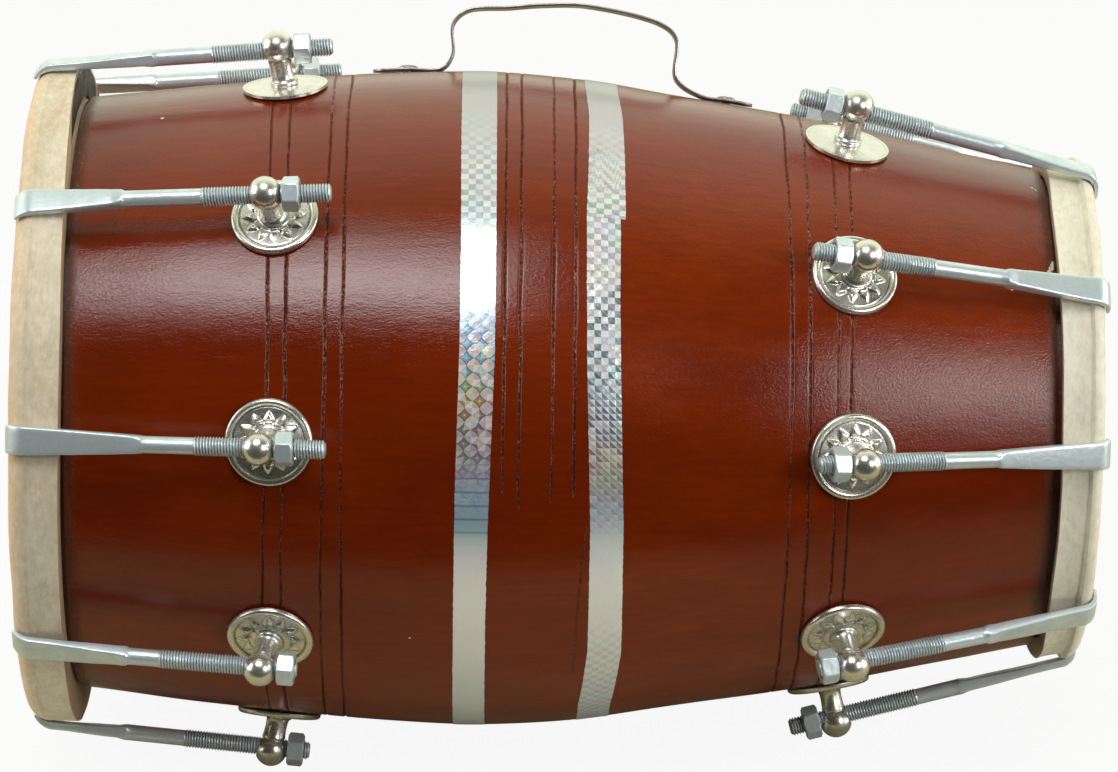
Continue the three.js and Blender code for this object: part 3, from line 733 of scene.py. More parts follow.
def makePost(name, side, column, phase, plain):
    columnPoints, columnFaces = column
    rosettePoints, rosetteFaces, rosetteMarks = makeRosette(side, phase, plain)
    clampPoints, clampFaces = makeClamp(side)
    height = columnPoints[:, 2]
    # the neck's grooves and the clamp are marked for darkening with grime and painted shade
    neck = np.clip(bell(height, 13.6, 0.5) + bell(height, 4.2, 0.6) * 0.7, 0, 1)
    first, second = len(columnPoints), len(columnPoints) + len(rosettePoints)
    faces = columnFaces + [[v + first for v in face] for face in rosetteFaces]
    faces += [[v + second for v in face] for face in clampFaces]
    marks = np.concatenate([neck, rosetteMarks, np.full(len(clampPoints), 0.3)])
    points = np.concatenate([columnPoints, rosettePoints, clampPoints])
    return newMesh(name, points, faces, 42, {"recess": marks})


# hook bolts: rolled thread, shank, hammered arm, forged lip over the ring
boltLook = {
    "around": 28, "rowsPerPitch": 6, "pitch": 1.25, "rod": 4.0, "threadDepth": 0.66, "shank": 3.55,
    "threadFromEye": 33.0, "flatFromEye": 57.0, "longestTail": 14.0, "stretch": 6.0, "tip": 2.75,
    "rootWidth": 7.8, "rootThick": 5.2, "armWidth": 11.9, "armThick": 3.5, "lipThick": 1.7,
    "flatPower": 7.0, "nutHeight": 7.2, "halfArm": 1.9,
}


def makeBolt(name, side, i):
    look = boltLook
    rng = np.random.default_rng(900 + i + (50 if side["turn"] > 0 else 0))
    phi = turnsOf(look["around"])
    tail = -(postLook["ballRadius"] + look["nutHeight"] + look["longestTail"] * side["tails"][i - 1])
    threadEnd = look["threadFromEye"] * side["threads"][i - 1]
    flatStart = look["flatFromEye"] * side["flats"][i - 1]
    pitch, round2, power = look["pitch"], 2 * look["shank"], look["flatPower"]
    rootWidth, rootThick, armWidth = look["rootWidth"], look["rootThick"], look["armWidth"]
    rows, recess = [], []

    def addRing(centre, normal, width, thick, power):
        # a section between an ellipse and a rectangle, as its power grows
        c, s = np.cos(phi), np.sin(phi)
        y = width / 2 * np.sign(c) * np.abs(c) ** (2 / power)
        n = thick / 2 * np.sign(s) * np.abs(s) ** (2 / power)
        rows.append(np.stack([centre[0] + n * normal[0], y, centre[1] + n * normal[1]], axis=-1))
        recess.append(0 * phi)

    # recess marks the thread's roots for darkening with grime and painted shade
    steps = int((threadEnd + pitch - tail) / pitch * look["rowsPerPitch"])
    for x in np.linspace(tail, threadEnd + pitch, steps):
        phase = (x / pitch - phi / fullTurn) % 1
        crest = np.clip(1.5 * (1 - np.abs(2 * phase - 1)) - 0.2, 0, 1)
        fade = 1 - smoothStep(threadEnd - 0.6 * pitch, threadEnd + 0.8 * pitch, x)
        blank = look["rod"] - (1 - fade) * (look["rod"] - look["shank"])
        radius = np.minimum(blank - look["threadDepth"] * fade * (1 - crest), look["tip"] + (x - tail) * 1.1)
        rows.append(aboutX(x, radius, phi))
        recess.append((1 - crest) * fade)
    sag = rng.uniform(-0.12, 0.12)
    for x in np.linspace(threadEnd + 1.6 * pitch, flatStart, 8):
        addRing([x, 0], [0, 1], round2, round2, 2.0)
    for share in np.linspace(0.08, 1, 12):
        addRing([flatStart + look["stretch"] * share, 0], [0, 1],
                rootWidth * share ** 0.6 + round2 * (1 - share ** 0.6),
                round2 + (rootThick - round2) * smoothStep(0, 1, share), 2 + (power - 2) * share ** 0.7)
    armFrom, armTo = flatStart + look["stretch"], side["bendStart"]
    waver = rng.uniform(-1, 1, (3, 4))
    for share in np.linspace(0.04, 1, 26):
        wave = abs(sum(waver[0, k] * math.sin((k + 1.5) * 3 * share + waver[1, k] * 3) for k in range(4)))
        addRing([armFrom + (armTo - armFrom) * share, sag * math.sin(halfTurn * share)], [0, 1],
                rootWidth + (armWidth - rootWidth) * share ** 0.85 - 0.12 * wave,
                rootThick + (look["armThick"] - rootThick) * smoothStep(0, 0.8, share) - 0.06 * wave, power)
    reach = side["ringRound"] + headFit["gap"]
    hub = np.array([side["bendStart"], -reach - look["armThick"] / 2])
    sweep = math.radians(side["lipSweep"])
    for share in np.linspace(0.08, 1, 12):
        thick = look["armThick"] + (look["lipThick"] - look["armThick"]) * share
        normal = np.array([math.sin(sweep * share), math.cos(sweep * share)])
        addRing(hub + normal * (reach + thick / 2), normal, armWidth, thick, power)
    inward = np.array([math.cos(sweep), -math.sin(sweep)])
    lipEnd = hub + normal * (reach + look["lipThick"] / 2)
    length = side["lipStraight"] + look["lipThick"] / 2
    for share in (0.2, 0.4, 0.6, 0.75, 0.87, 0.95, 1.0):
        corner = 1 - 0.36 * share ** 3.5
        thin = 1 - 0.45 * (max(0.0, share - 0.6) / 0.4) ** 1.4
        addRing(lipEnd + inward * length * share, normal, armWidth * corner, look["lipThick"] * thin,
                power - 3 * share)
    return gridMesh(name, np.array(rows), capEnds=True, sharpDegrees=48, marks={"recess": np.array(recess)})


# hexagon nuts
nutLook = {"flats": 13.0, "height": 7.2, "bore": 4.12, "mouth": 0.55, "face": 6.15, "around": 120,
           "edge": 7.44, "bevel": 58.0}


def makeNut():
    look = nutLook
    phi = turnsOf(look["around"])
    hexagon = look["flats"] / 2 / np.cos(phi % (fullTurn / 6) - fullTurn / 12)
    half = look["height"] / 2
    depths = [0, 0.06, 0.15, 0.25, 0.35, 0.46, 0.58, 0.72, 0.9]
    rows = []
    for x, inset in [(d - half, d) for d in depths] + [(half - d, d) for d in reversed(depths)]:
        bevelled = look["face"] + inset * math.tan(math.radians(look["bevel"]))
        rows.append((x, np.minimum(np.minimum(hexagon, look["edge"]), bevelled)))
    wide = look["bore"] + look["mouth"]
    rows += [(half, wide), (half - 0.5, look["bore"]), (0.0, look["bore"]), (0.5 - half, look["bore"]),
             (-half, wide)]
    grid = np.array([aboutX(x, radius, phi) for x, radius in rows])
    # the bore is marked for darkening with grime and painted shade
    marks = np.zeros(grid.shape[:2])
    marks[-5:] = 1
    return gridMesh("hex_nut", grid, joinEnds=True, sharpDegrees=24, marks={"recess": marks})


# strap handle with its two slotted screws
strapLook = {
    "width": 14.0, "thick": 1.3, "rise": 29.5, "bend": 6.0, "leg": 49.2, "footGap": 0.6,
    "bassFoot": (-84.0, -53.5), "trebleFoot": (60.0, 83.0), "bassDrop": 3.0, "trebleDrop": 7.8,
    "steps": 260, "headRadius": 4.2, "headHeight": 1.5, "shankRadius": 2.0, "shankLength": 13.0,
    "slotWidth": 1.0, "slotDepth": 0.8,
}


def shellSeat(x, lift):
    step = strapLook["width"] / 2
    near, here, far = shellRadius(np.array([x - step, x, x + step]))
    fall = math.atan2(near - far, 2 * step)
    return np.array([x + lift * math.sin(fall), here + lift * math.cos(fall)]), fall


def strapPoints():
    look = strapLook
    lift = look["footGap"] + look["thick"] / 2
    top = barrel["bulgeRadius"] + look["rise"]
    leg, bend = look["leg"], look["bend"]
    low, high = top - look["bassDrop"], top - look["trebleDrop"]
    bassRoot, trebleRoot = shellRadius(np.array([-leg, leg])) + lift + bend
    feet = [[shellSeat(x, lift)[0] for x in (span[0], sum(span) / 2, span[1])]
            for span in (look["bassFoot"], look["trebleFoot"])]
    arch = [(-leg, bassRoot), (-leg, low - bend), (-leg + bend, low), (-leg / 2, top - look["thick"]),
            (-leg / 5, top), (leg / 5, top), (leg - bend, high), (leg, high - bend), (leg, trebleRoot)]
    return np.array(feet[0] + arch + feet[1])


def smoothLine(points, steps):
    # an even-length walk along a centripetal curve through the points
    p = np.vstack([2 * points[0] - points[1], points, 2 * points[-1] - points[-2]])
    fine = []
    for k in range(1, len(p) - 2):
        d0, d1, d2 = (np.linalg.norm(p[k + j] - p[k + j - 1]) ** 0.5 for j in (0, 1, 2))
        across = (p[k + 1] - p[k]) / d1
        m1 = ((p[k] - p[k - 1]) / d0 - (p[k + 1] - p[k - 1]) / (d0 + d1) + across) * d1
        m2 = (across - (p[k + 2] - p[k]) / (d1 + d2) + (p[k + 2] - p[k + 1]) / d2) * d1
        t = np.linspace(0, 1, 60, endpoint=False)[:, None]
        fine.append(p[k] + m1 * t + (3 * (p[k + 1] - p[k]) - 2 * m1 - m2) * t ** 2
                    + (2 * (p[k] - p[k + 1]) + m1 + m2) * t ** 3)
    fine = np.vstack(fine + [points[-1:]])
    walked = np.concatenate([[0], np.cumsum(np.linalg.norm(np.diff(fine, axis=0), axis=1))])
    even = np.linspace(0, walked[-1], steps)
    return np.stack([np.interp(even, walked, fine[:, a]) for a in (0, 1)], axis=-1), even


def makeStrap():
    look = strapLook
    line, walked = smoothLine(strapPoints(), look["steps"])
    along = np.gradient(line, axis=0)
    along /= np.linalg.norm(along, axis=1)[:, None]
    half, thin = look["width"] / 2, look["thick"] / 2
    fromEnd = np.minimum(walked, walked[-1] - walked)
    width = half * np.sqrt(np.clip(1 - (1 - np.clip(fromEnd / half, 0.02, 1)) ** 2, 0, 1))
    phi = turnsOf(24)
    c, s = np.cos(phi), np.sin(phi)
    y = width[:, None] * np.sign(c) * np.abs(c) ** 0.12
    ripple = 0.1 * softWaves(31, walked[:, None] * 0.1, 0 * phi, 1, 1.0)
    n = thin * np.sign(s) * np.abs(s) ** 0.3 + ripple
    x = line[:, None, 0] - n * along[:, None, 1]
    z = line[:, None, 1] + n * along[:, None, 0]
    return gridMesh("strap_handle", np.stack([x, y, z], axis=-1), capEnds=True, sharpDegrees=50)


def makeScrew(name, span, slotTurn):
    look = strapLook
    point, fall = shellSeat(sum(span) / 2, look["footGap"])
    r, h, thick, long = look["headRadius"], look["headHeight"], look["thick"], look["shankLength"]
    rises = np.radians(np.linspace(0, 89, 12))
    dome = [[r * math.cos(a), thick + 0.3 + (h - 0.3) * math.sin(a)] for a in rises]
    profile = [[0.05, -long], [1.4, 2.5 - long], [look["shankRadius"], 5 - long],
               [look["shankRadius"], thick / 2], [r, thick + 0.02]] + dome
    screw = newObject(name, gridMesh(name, aboutZ(profile, 48), capEnds=True, sharpDegrees=35))
    w, low, high = look["slotWidth"] / 2, thick + h - look["slotDepth"], thick + h + 2
    box = [[x, y, z] for x in (-6, 6) for y in (-w, w) for z in (low, high)]
    faces = [[0, 1, 3, 2], [4, 6, 7, 5], [0, 4, 5, 1], [2, 3, 7, 6], [0, 2, 6, 4], [1, 5, 7, 3]]
    cutWith(screw, newObject("slot", newMesh("slot", box, faces), matrix=Matrix.Rotation(slotTurn, 4, "Z")))
    screw.data.set_sharp_from_angle(angle=math.radians(35))
    seat = Matrix.Translation(Vector((point[0], 0, point[1])) * mm) @ Matrix.Rotation(fall, 4, "Y")
    settle(screw, drumMatrix @ seat)
    return screw


# lacquer; its chips are given along X, in degrees round the barrel and by radius
chips = [(207.7, 35.9, 0.9), (207.2, 35.1, 1.1), (206.6, 34.2, 1.2), (206.0, 33.4, 0.9), (205.3, 33.3, 0.6),
         (208.6, 38.3, 0.5), (208.5, 37.4, 0.45), (202.2, 63.6, 0.7), (203.7, 62.7, 0.6), (184.6, 28.6, 0.7),
         (187.5, 28.0, 0.6), (189.2, 27.3, 0.8), (-172.0, 61.4, 0.8), (-62.0, -45.0, 0.5)]
lacquerLook = {"bassRingEdge": -0.2062, "trebleRingEdge": 0.2078, "stainAndShade": 0.0062,
               "dark": (0.140, 0.0125, 0.0006), "light": (0.222, 0.0250, 0.0012),
               "grain": (0.10, 0.0085, 0.0004), "stainedAndShaded": (0.062, 0.020, 0.007),
               "dust": (0.30, 0.21, 0.14), "groove": (0.036, 0.0095, 0.003),
               "grooveGlint": (0.42, 0.25, 0.17), "bare": (0.72, 0.58, 0.46), "bump": 0.00009}


def chipMask(where):
    masks = []
    for x, degrees, radius in chips:
        turn, r = math.radians(degrees), float(shellRadius(np.array([x]))[0])
        centre = Vector((x, -r * math.cos(turn), r * math.sin(turn))) * mm
        masks.append(useGroup(spotGroup, {"Vector": where, "Centre": centre, "Radius": radius * mm})["Mask"])
    return most(*masks)


def makeLacquer():
    look = lacquerLook
    material, tree, shader, where = newMaterial("red_brown_lacquer")
    along, _, height = split(where)
    mottle = useGroup(mottleGroup, {
        "Vector": where, "Stretch": (0.4, 1, 1), "Broad": 13.0, "Fine": 150.0, "Fine Share": 0.22})["Value"]
    colour = mixed(mottle, look["dark"], look["light"])
    grain = noise(stretched(where, (0.06, 1, 1)), 420.0, 3.0, 0.6)
    colour = mixed(spread(grain, 0.3, 0.72, 0.0, 0.3), colour, look["grain"])
    # a dark band on the lacquer next to each ring: dirt gathered there, and painted shade of the ring's
    # overhang
    wide, bass, treble = look["stainAndShade"], look["bassRingEdge"], look["trebleRingEdge"]
    smear = times(noise(where, 90.0, 5.0, 0.65), wide)
    stainAndShade = most(spread(minus(along, smear), bass - wide * 0.5, bass + wide * 0.6, 1.0, 0.0),
                 spread(plus(along, smear), treble - wide * 0.6, treble + wide * 0.5))
    colour = mixed(times(stainAndShade, 0.75), colour, look["stainedAndShaded"])
    dust = times(spread(noise(where, 700.0, 4.0, 0.7), 0.56, 0.68), stainAndShade, 0.45)
    colour = mixed(dust, colour, look["dust"])
    rubbed, groove = noise(where, 620.0, 4.0, 0.65), mark(tree, "groove")
    inGroove = spread(groove, 0.02, 0.12)
    # painted shade in the grooves: the cuts are coloured dark, and less dark higher up the barrel
    dark = times(spread(plus(groove, times(minus(rubbed, 0.5), 2.2)), 0.05, 0.4), inGroove)
    colour = mixed(times(dark, spread(height, 0.07, 0.12, 0.72, 0.42)), colour, look["groove"])
    # painted glints: pale spots along the grooves, only in the band of heights where the light catches the
    # groove walls
    lit = plus(times(spread(height, -0.03, 0.02), spread(height, 0.10, 0.07), 0.6), 0.3)
    glintSpeck = noise(stretched(where, (1, 0.7, 0.7)), 1250.0, 3.0, 0.6)
    colour = mixed(times(spread(glintSpeck, 0.54, 0.64), inGroove, lit, 0.6), colour, look["grooveGlint"])
    plug(mixed(chipMask(where), colour, look["bare"]), shader["Base Color"])
    gloss = useGroup(mottleGroup, {"Vector": where, "Stretch": (0.5, 1, 1), "Broad": 24.0, "Fine": 330.0,
                                   "Fine Share": 0.5, "Contrast": 0.8})["Value"]
    spoiled = times(most(dark, times(stainAndShade, 0.8)), 0.3)
    plug(plus(spread(gloss, 0.0, 1.0, 0.10, 0.20), spoiled), shader["Roughness"])
    shader["IOR"].default_value = 1.46
    plug(minus(0.5, times(dark, 0.42)), shader["Specular IOR Level"])
    ripple = noise(stretched(where, (0.45, 1, 1)), 1300.0, 3.0, 0.6, 0.3)
    swell = times(noise(stretched(where, (0.3, 1, 1)), 230.0, 2.0, 0.5), 0.9)
    fine = times(noise(where, 1250.0, 3.0, 0.6), spread(along, 0.04, 0.13, 0.0, 1.5))
    setBump(shader, plus(ripple, fine, swell, times(rubbed, inGroove, 7.0)), 1.0, look["bump"])
    return material


# how the prismatic film of each tape answers round the barrel, by degrees: its tint and the colour of
# its stars, which paint in the film's highlights and reflections at each angle, and how much shows of its
# checks, its stars and its creased bands
foilBack = {
    "painted_light_tints": [(-180, (0.62, 0.66, 0.60)), (-150, (0.46, 0.53, 0.58)), (-120, (0.72, 0.74, 0.62)),
              (-90, (0.80, 0.86, 0.78)), (-60, (0.84, 0.90, 0.84)), (-45, (1.0, 1.0, 0.98)),
              (80, (0.38, 0.38, 0.36)), (130, (0.56, 0.55, 0.60))],
    "stars": [],
    "shows": [(-180, (0.7, 0.2, 0)), (-120, (0.5, 0, 0)), (60, (0, 0, 0)), (110, (0, 0, 0)),
              (150, (0.7, 0.2, 0))],
}
foilLooks = {
    "tape_left": {
        "slanted": False, "rainbow": 0.36,
        "painted_light_tints": [
            (-28, (1.0, 1.0, 0.98)), (-24.5, (0.80, 0.87, 0.84)), (-22, (0.36, 0.54, 0.62)),
            (-15, (0.36, 0.50, 0.64)), (-12, (0.46, 0.40, 0.46)), (-7, (0.62, 0.46, 0.42)),
            (0, (0.74, 0.60, 0.46)), (6, (0.80, 0.66, 0.50)), (10, (0.70, 0.74, 0.74)),
            (13, (0.58, 0.72, 0.90)), (16, (0.94, 0.95, 0.89)), (29, (0.93, 0.95, 0.90)),
            (31, (0.66, 0.80, 0.86)), (36, (0.65, 0.65, 0.66)), (50, (0.51, 0.49, 0.49))],
        "stars": [
            (-14, (0.18, 0.20, 0.32)), (-8, (0.20, 0.13, 0.12)), (-4, (0.22, 0.12, 0.08)),
            (-1, (0.52, 0.22, 0.06)), (1, (0.38, 0.44, 0.06)), (4, (0.14, 0.46, 0.50)),
            (9, (0.18, 0.52, 0.76)), (14, (0.30, 0.54, 0.88)), (30, (0.9, 0.94, 0.94))],
        "shows": [
            (-70, (0, 0, 0)), (-25, (0, 0, 0)), (-22, (0, 0, 0.85)), (-14, (0.1, 0.2, 0.9)),
            (-10, (0.2, 0.8, 0.3)), (0, (0.1, 1, 0)), (8, (0.15, 1, 0)), (12, (0.25, 0.6, 0)),
            (15, (0.2, 0.2, 0)), (17, (0.02, 0, 0)), (29, (0.02, 0, 0)), (32, (0.4, 0, 0)),
            (42, (0.34, 0, 0)), (50, (0.1, 0, 0))],
    },
    "tape_right": {
        "slanted": True, "rainbow": 0.58,
        "painted_light_tints": [
            (-26, (0.98, 1.0, 0.96)), (-22, (0.72, 0.78, 0.78)), (-18, (0.50, 0.56, 0.66)),
            (-14, (0.56, 0.56, 0.48)), (-9, (0.74, 0.62, 0.44)), (-5, (0.94, 0.98, 0.96)),
            (3, (0.92, 1.0, 1.0)), (18, (0.80, 0.96, 0.94)), (21, (0.96, 0.97, 0.74)),
            (26, (0.98, 0.88, 0.86)), (31, (0.82, 0.78, 0.84)), (40, (0.61, 0.57, 0.62)),
            (50, (0.51, 0.49, 0.50))],
        "stars": [
            (-20, (0.26, 0.34, 0.50)), (-12, (0.20, 0.16, 0.08)), (-8, (0.10, 0.14, 0.11)),
            (-3, (0.035, 0.055, 0.065)), (3, (0.09, 0.20, 0.26)), (8, (0.40, 0.60, 0.70)),
            (20, (0.9, 0.6, 0.4)), (30, (0.42, 0.55, 0.8)), (40, (0.5, 0.5, 0.55))],
        "shows": [
            (-70, (0.3, 0, 0)), (-50, (0.2, 0, 0)), (-38, (0, 0, 0)), (-24, (0, 0, 0)),
            (-20, (0.2, 0.25, 0)), (-13, (0.25, 0.55, 0)), (-8, (0.2, 0.8, 0)), (-2, (0.15, 0.9, 0)),
            (1, (0.5, 0.6, 0)), (4, (0.9, 0.25, 0)), (18, (0.95, 0.1, 0)), (21, (0.55, 0.3, 0)),
            (28, (0.55, 0.15, 0)), (34, (0.5, 0.1, 0)), (42, (0.3, 0, 0)), (50, (0.1, 0, 0))],
    },
}


def ramp(turn, name, key):
    # the stops of one tape, spread over the whole turn
    stops = sorted(foilBack[key] + foilLooks[name][key])
    made = addNode(treeOf(turn), "ShaderNodeValToRGB", {0: maths("DIVIDE", plus(turn, 180.0), 360.0)})
    points = made.color_ramp.elements
    while len(points) < len(stops):
        points.new(0.5)
    for point, (degrees, colour) in zip(points, stops):
        point.position = (degrees + 180) / 360
        point.color = (*colour, 1)
    return made.outputs[0]


def middled(value, period):
    # the distance from the middle of each stretch, 0 there and 1 at its ends
    return size(minus(times(fraction(maths("DIVIDE", value, period)), 2.0), 1.0))


def makeFoil(name):
    look = foilLooks[name]
    material, tree, shader, where = newMaterial("prism_foil_" + name)
    grid, turn = mark(tree, "cells", "Vector"), mark(tree, "turn")
    shows = addNode(tree, "ShaderNodeSeparateColor", {0: ramp(turn, name, "shows")}).outputs
    checks, stars, bandShow = shows[0], shows[1], shows[2]
    index = vectorMaths("FLOOR", grid)
    column, row = split(index)[:2]
    toss = addNode(tree, "ShaderNodeTexWhiteNoise", {"Vector": index}, noise_dimensions="3D").outputs["Value"]
    odd = maths("PINGPONG", plus(column, row), 1.0)
    u, v = split(grid)[:2]
    across = middled(u, 1.0)
    pyramid = times(most(across, middled(v, 1.0)), minus(times(odd, 2.0), 1.0))
    if look["slanted"]:
        points = plus(fraction(u), fraction(v))
    else:
        points = plus(maths("POWER", middled(u, 2.0), 0.72), maths("POWER", middled(v, 2.0), 0.72))
    pattern = most(checks, stars)
    star = times(spread(points, 0.97, 1.05, 1.0, 0.0), stars, 0.9)
    outline = times(spread(size(minus(points, 1.0)), 0.02, 0.16, 1.0, 0.0), stars, 0.8)
    heart = times(spread(points, 0.15, 0.6, 1.0, 0.0), stars, 0.55)
    glint = times(spread(toss, 0.74, 0.8), pattern, 0.5)
    bands = times(spread(middled(v, 2.0), 0.72, 0.95), bandShow)
    hue = plus(times(noise(where, 45.0, 1.0), 3.0), times(toss, 0.4), times(across, 0.3))
    rainbow = addNode(tree, "ShaderNodeCombineColor", {0: fraction(hue), 1: 0.42, 2: 0.92}, mode="HSV")
    # the tint ramp paints the film's highlights and reflections round the barrel
    colour = mixed(times(most(pattern, 0.12), look["rainbow"]), ramp(turn, name, "painted_light_tints"), rainbow.outputs[0])
    # random tone, and painted shade that grades across each cell so that it looks like a lit facet
    toneAndFacetShade = times(spread(noise(where, 230.0, 2.0), 0.34, 0.62, 0.7, 1.2),
                   plus(times(fraction(plus(u, v)), 0.5), 0.65))
    for share, over in (
            (times(odd, checks, toneAndFacetShade, 0.8), (0.93, 0.98, 0.96)),
            (times(minus(1.0, odd), checks, toneAndFacetShade, 0.92), (0.07, 0.17, 0.17)),
            (star, ramp(turn, name, "stars")), (outline, (0.035, 0.045, 0.045)), (heart, (0.95, 0.97, 0.90)),
            (glint, (1.0, 1.0, 0.98)), (times(bands, 0.7), (0.13, 0.17, 0.20))):
        colour = mixed(share, colour, over)
    plug(colour, shader["Base Color"])
    crinkle = noise(stretched(where, (0.5, 1, 1)), 150.0, 4.0, 0.6, 1.0)
    fold = times(spread(size(minus(crinkle, 0.5)), 0.0, 0.04, 1.0, 0.0), 0.25)
    setBump(shader, minus(plus(times(pyramid, pattern), fold), times(bands, 0.8)), 1.0, 0.0001)
    shader["Metallic"].default_value = 0.35
    shader["Roughness"].default_value = 0.28
    return material


def makeHide():
    material, tree, shader, where = newMaterial("rawhide")
    broad = useGroup(mottleGroup, {
        "Vector": where, "Stretch": (1, 0.6, 0.6), "Broad": 24.0, "Fine": 150.0, "Contrast": 1.1})["Value"]
    colour = mixed(broad, (0.59, 0.475, 0.315), (0.78, 0.70, 0.54))
    streak = noise(stretched(where, (1.0, 0.16, 0.16)), 330.0, 5.0, 0.65, 0.5)
    mottle = noise(stretched(where, (1.0, 0.6, 0.6)), 420.0, 4.0, 0.7)
    roll = times(mark(tree, "roll"), spread(noise(where, 60.0, 3.0), 0.3, 0.7, 0.6, 0.95))
    # the rear mark paints shade in dark brown on the ring's rear face
    for share, over in (
            (spread(streak, 0.52, 0.74, 0.0, 0.45), (0.50, 0.35, 0.20)),
            (spread(noise(where, 75.0, 4.0, 0.6), 0.58, 0.74, 0.0, 0.4), (0.66, 0.44, 0.26)),
            (roll, (0.76, 0.52, 0.32)), (times(mark(tree, "pale"), 0.5), (0.81, 0.80, 0.68)),
            (spread(mottle, 0.5, 0.64, 0.0, 0.22), (0.46, 0.38, 0.24)),
            (spread(mottle, 0.5, 0.36, 0.0, 0.22), (0.92, 0.88, 0.76)),
            (times(mark(tree, "rear"), 0.85), (0.36, 0.21, 0.11)),
            (times(mark(tree, "worn"), 0.5), (0.66, 0.54, 0.38))):
        colour = mixed(share, colour, over)
    # darkens the crease mark with grime and painted shade
    grimedAndShaded = useGroup(grimeAndShadeGroup, {"Vector": where, "Color": colour, "Grime And Shade Color": (0.20, 0.12, 0.06),
                                  "Amount": 0.7, "Scale": 160.0})
    plug(grimedAndShaded["Color"], shader["Base Color"])
    plug(spread(broad, 0.0, 1.0, 0.72, 0.5), shader["Roughness"])
    setBump(shader, noise(stretched(where, (1.0, 0.4, 0.4)), 480.0, 5.0, 0.7), 0.7, 0.00035)
    return material


# metals: colours where clean and where cloudy, roughness there, colour and amount of the grime and painted
# shade in recesses, the depth and scale of the pitting, and how metallic the finish is
metals = {
    "warm_nickel": ((0.83, 0.81, 0.74), (0.70, 0.68, 0.61), (0.22, 0.32), (0.10, 0.09, 0.065), 0.72,
                    0.00004, 300.0, 0.9),
    "zinc_plate": ((0.71, 0.79, 0.81), (0.55, 0.63, 0.66), (0.30, 0.42), (0.10, 0.11, 0.11), 0.75,
                   0.00012, 420.0, 0.55),
    "strap_steel": ((0.42, 0.40, 0.38), (0.26, 0.23, 0.21), (0.3, 0.48), (0.10, 0.07, 0.05), 0.6,
                    0.00015, 300.0, 1.0),
    "hoop_iron": ((0.10, 0.09, 0.085), (0.05, 0.045, 0.04), (0.4, 0.6), (0.05, 0.03, 0.02), 0.5,
                  0.0002, 200.0, 1.0),
}


def makeMetal(name):
    light, dark, rough, grime_and_shade, amount, bump, bumpScale, metallic = metals[name]
    material, tree, shader, where = newMaterial(name, ownPlaces=name != "hoop_iron")
    luck = tree.nodes.new("ShaderNodeObjectInfo").outputs["Random"]
    offset = addNode(tree, "ShaderNodeCombineXYZ", {0: luck, 1: luck, 2: 0.0}).outputs[0]
    placed = vectorMaths("ADD", where, offset)
    cloud = useGroup(mottleGroup, {"Vector": placed, "Broad": 120.0, "Fine": 900.0})["Value"]
    # darkens each piece's recess marks with grime and painted shade
    grimedAndShaded = useGroup(grimeAndShadeGroup, {"Vector": placed, "Color": mixed(cloud, dark, light), "Grime And Shade Color": grime_and_shade,
                                  "Amount": amount, "Scale": 700.0})
    scratch = useGroup(scratchGroup, {"Vector": placed, "Scale": 260.0})["Mask"]
    plug(grimedAndShaded["Color"], shader["Base Color"])
    gloss = spread(cloud, 0.0, 1.0, rough[1], rough[0])
    plug(plus(gloss, times(grimedAndShaded["Mask"], 0.25), times(scratch, 0.12)), shader["Roughness"])
    shader["Metallic"].default_value = metallic
    setBump(shader, noise(placed, bumpScale, 3.0, 0.55), 1.0, bump)
    return material


floorLook = {"plain": (0.60, 0.59, 0.54), "mirrored": (0.41, 0.37, 0.22), "white": 0.92}


def makeFloor():
    # white to the camera with the drum's shadow on it, a dull warm sheet in the drum's reflections
    material, tree, shader, _ = newMaterial("pale_floor")
    shader["Roughness"].default_value = 0.9
    shader["Specular IOR Level"].default_value = 0.1
    path = tree.nodes.new("ShaderNodeLightPath").outputs
    plug(mixed(path["Is Glossy Ray"], floorLook["plain"], floorLook["mirrored"]), shader["Base Color"])
    glow = addNode(tree, "ShaderNodeEmission", {"Color": (1, 1, 1), "Strength": 1.0})
    seen = times(most(path["Is Camera Ray"], path["Is Transmission Ray"]), floorLook["white"])
    surface = next(node for node in tree.nodes if node.type == "OUTPUT_MATERIAL").inputs["Surface"]
    inputs = {0: seen, 1: surface.links[0].from_socket, 2: glow.outputs[0]}
    plug(addNode(tree, "ShaderNodeMixShader", inputs).outputs[0], surface)
    return material


lacquer, hide = makeLacquer(), makeHide()
foils = {tapeName: makeFoil(tapeName) for tapeName in tapes}
nickel, zinc, strapSteel, hoopIron = (makeMetal(metalName) for metalName in metals)
print("materials built")


# assembly
def ridden(piece, body, slotName, *nodes):
    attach(piece, body)
    if nodes:
        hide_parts(*nodes)


def put(name, mesh, matrix, material, body, slotName, *nodes):
    piece = newObject(name, mesh, material)
    settle(piece, matrix)
    ridden(piece, body, slotName, *nodes)


for side in sides.values():
    solveSide(side)
put("shell_lacquered", makeShell(), drumMatrix, lacquer, "root", "lacquered_wood", "shell")
print("shell built")
for tapeName in tapes:
    put(tapeName, makeTape(tapeName), drumMatrix, foils[tapeName], "root", "zinc")
for sideName in sides:
    put(f"{sideName}_hide", makeHead(sideName), drumMatrix, hide, "root", "rawhide", f"{sideName}_skin")
    hoop = frame["nodes"][f"{sideName}_hoop"]
    hoop.data.materials.clear()
    hoop.data.materials.append(hoopIron)
print("tapes and heads built")

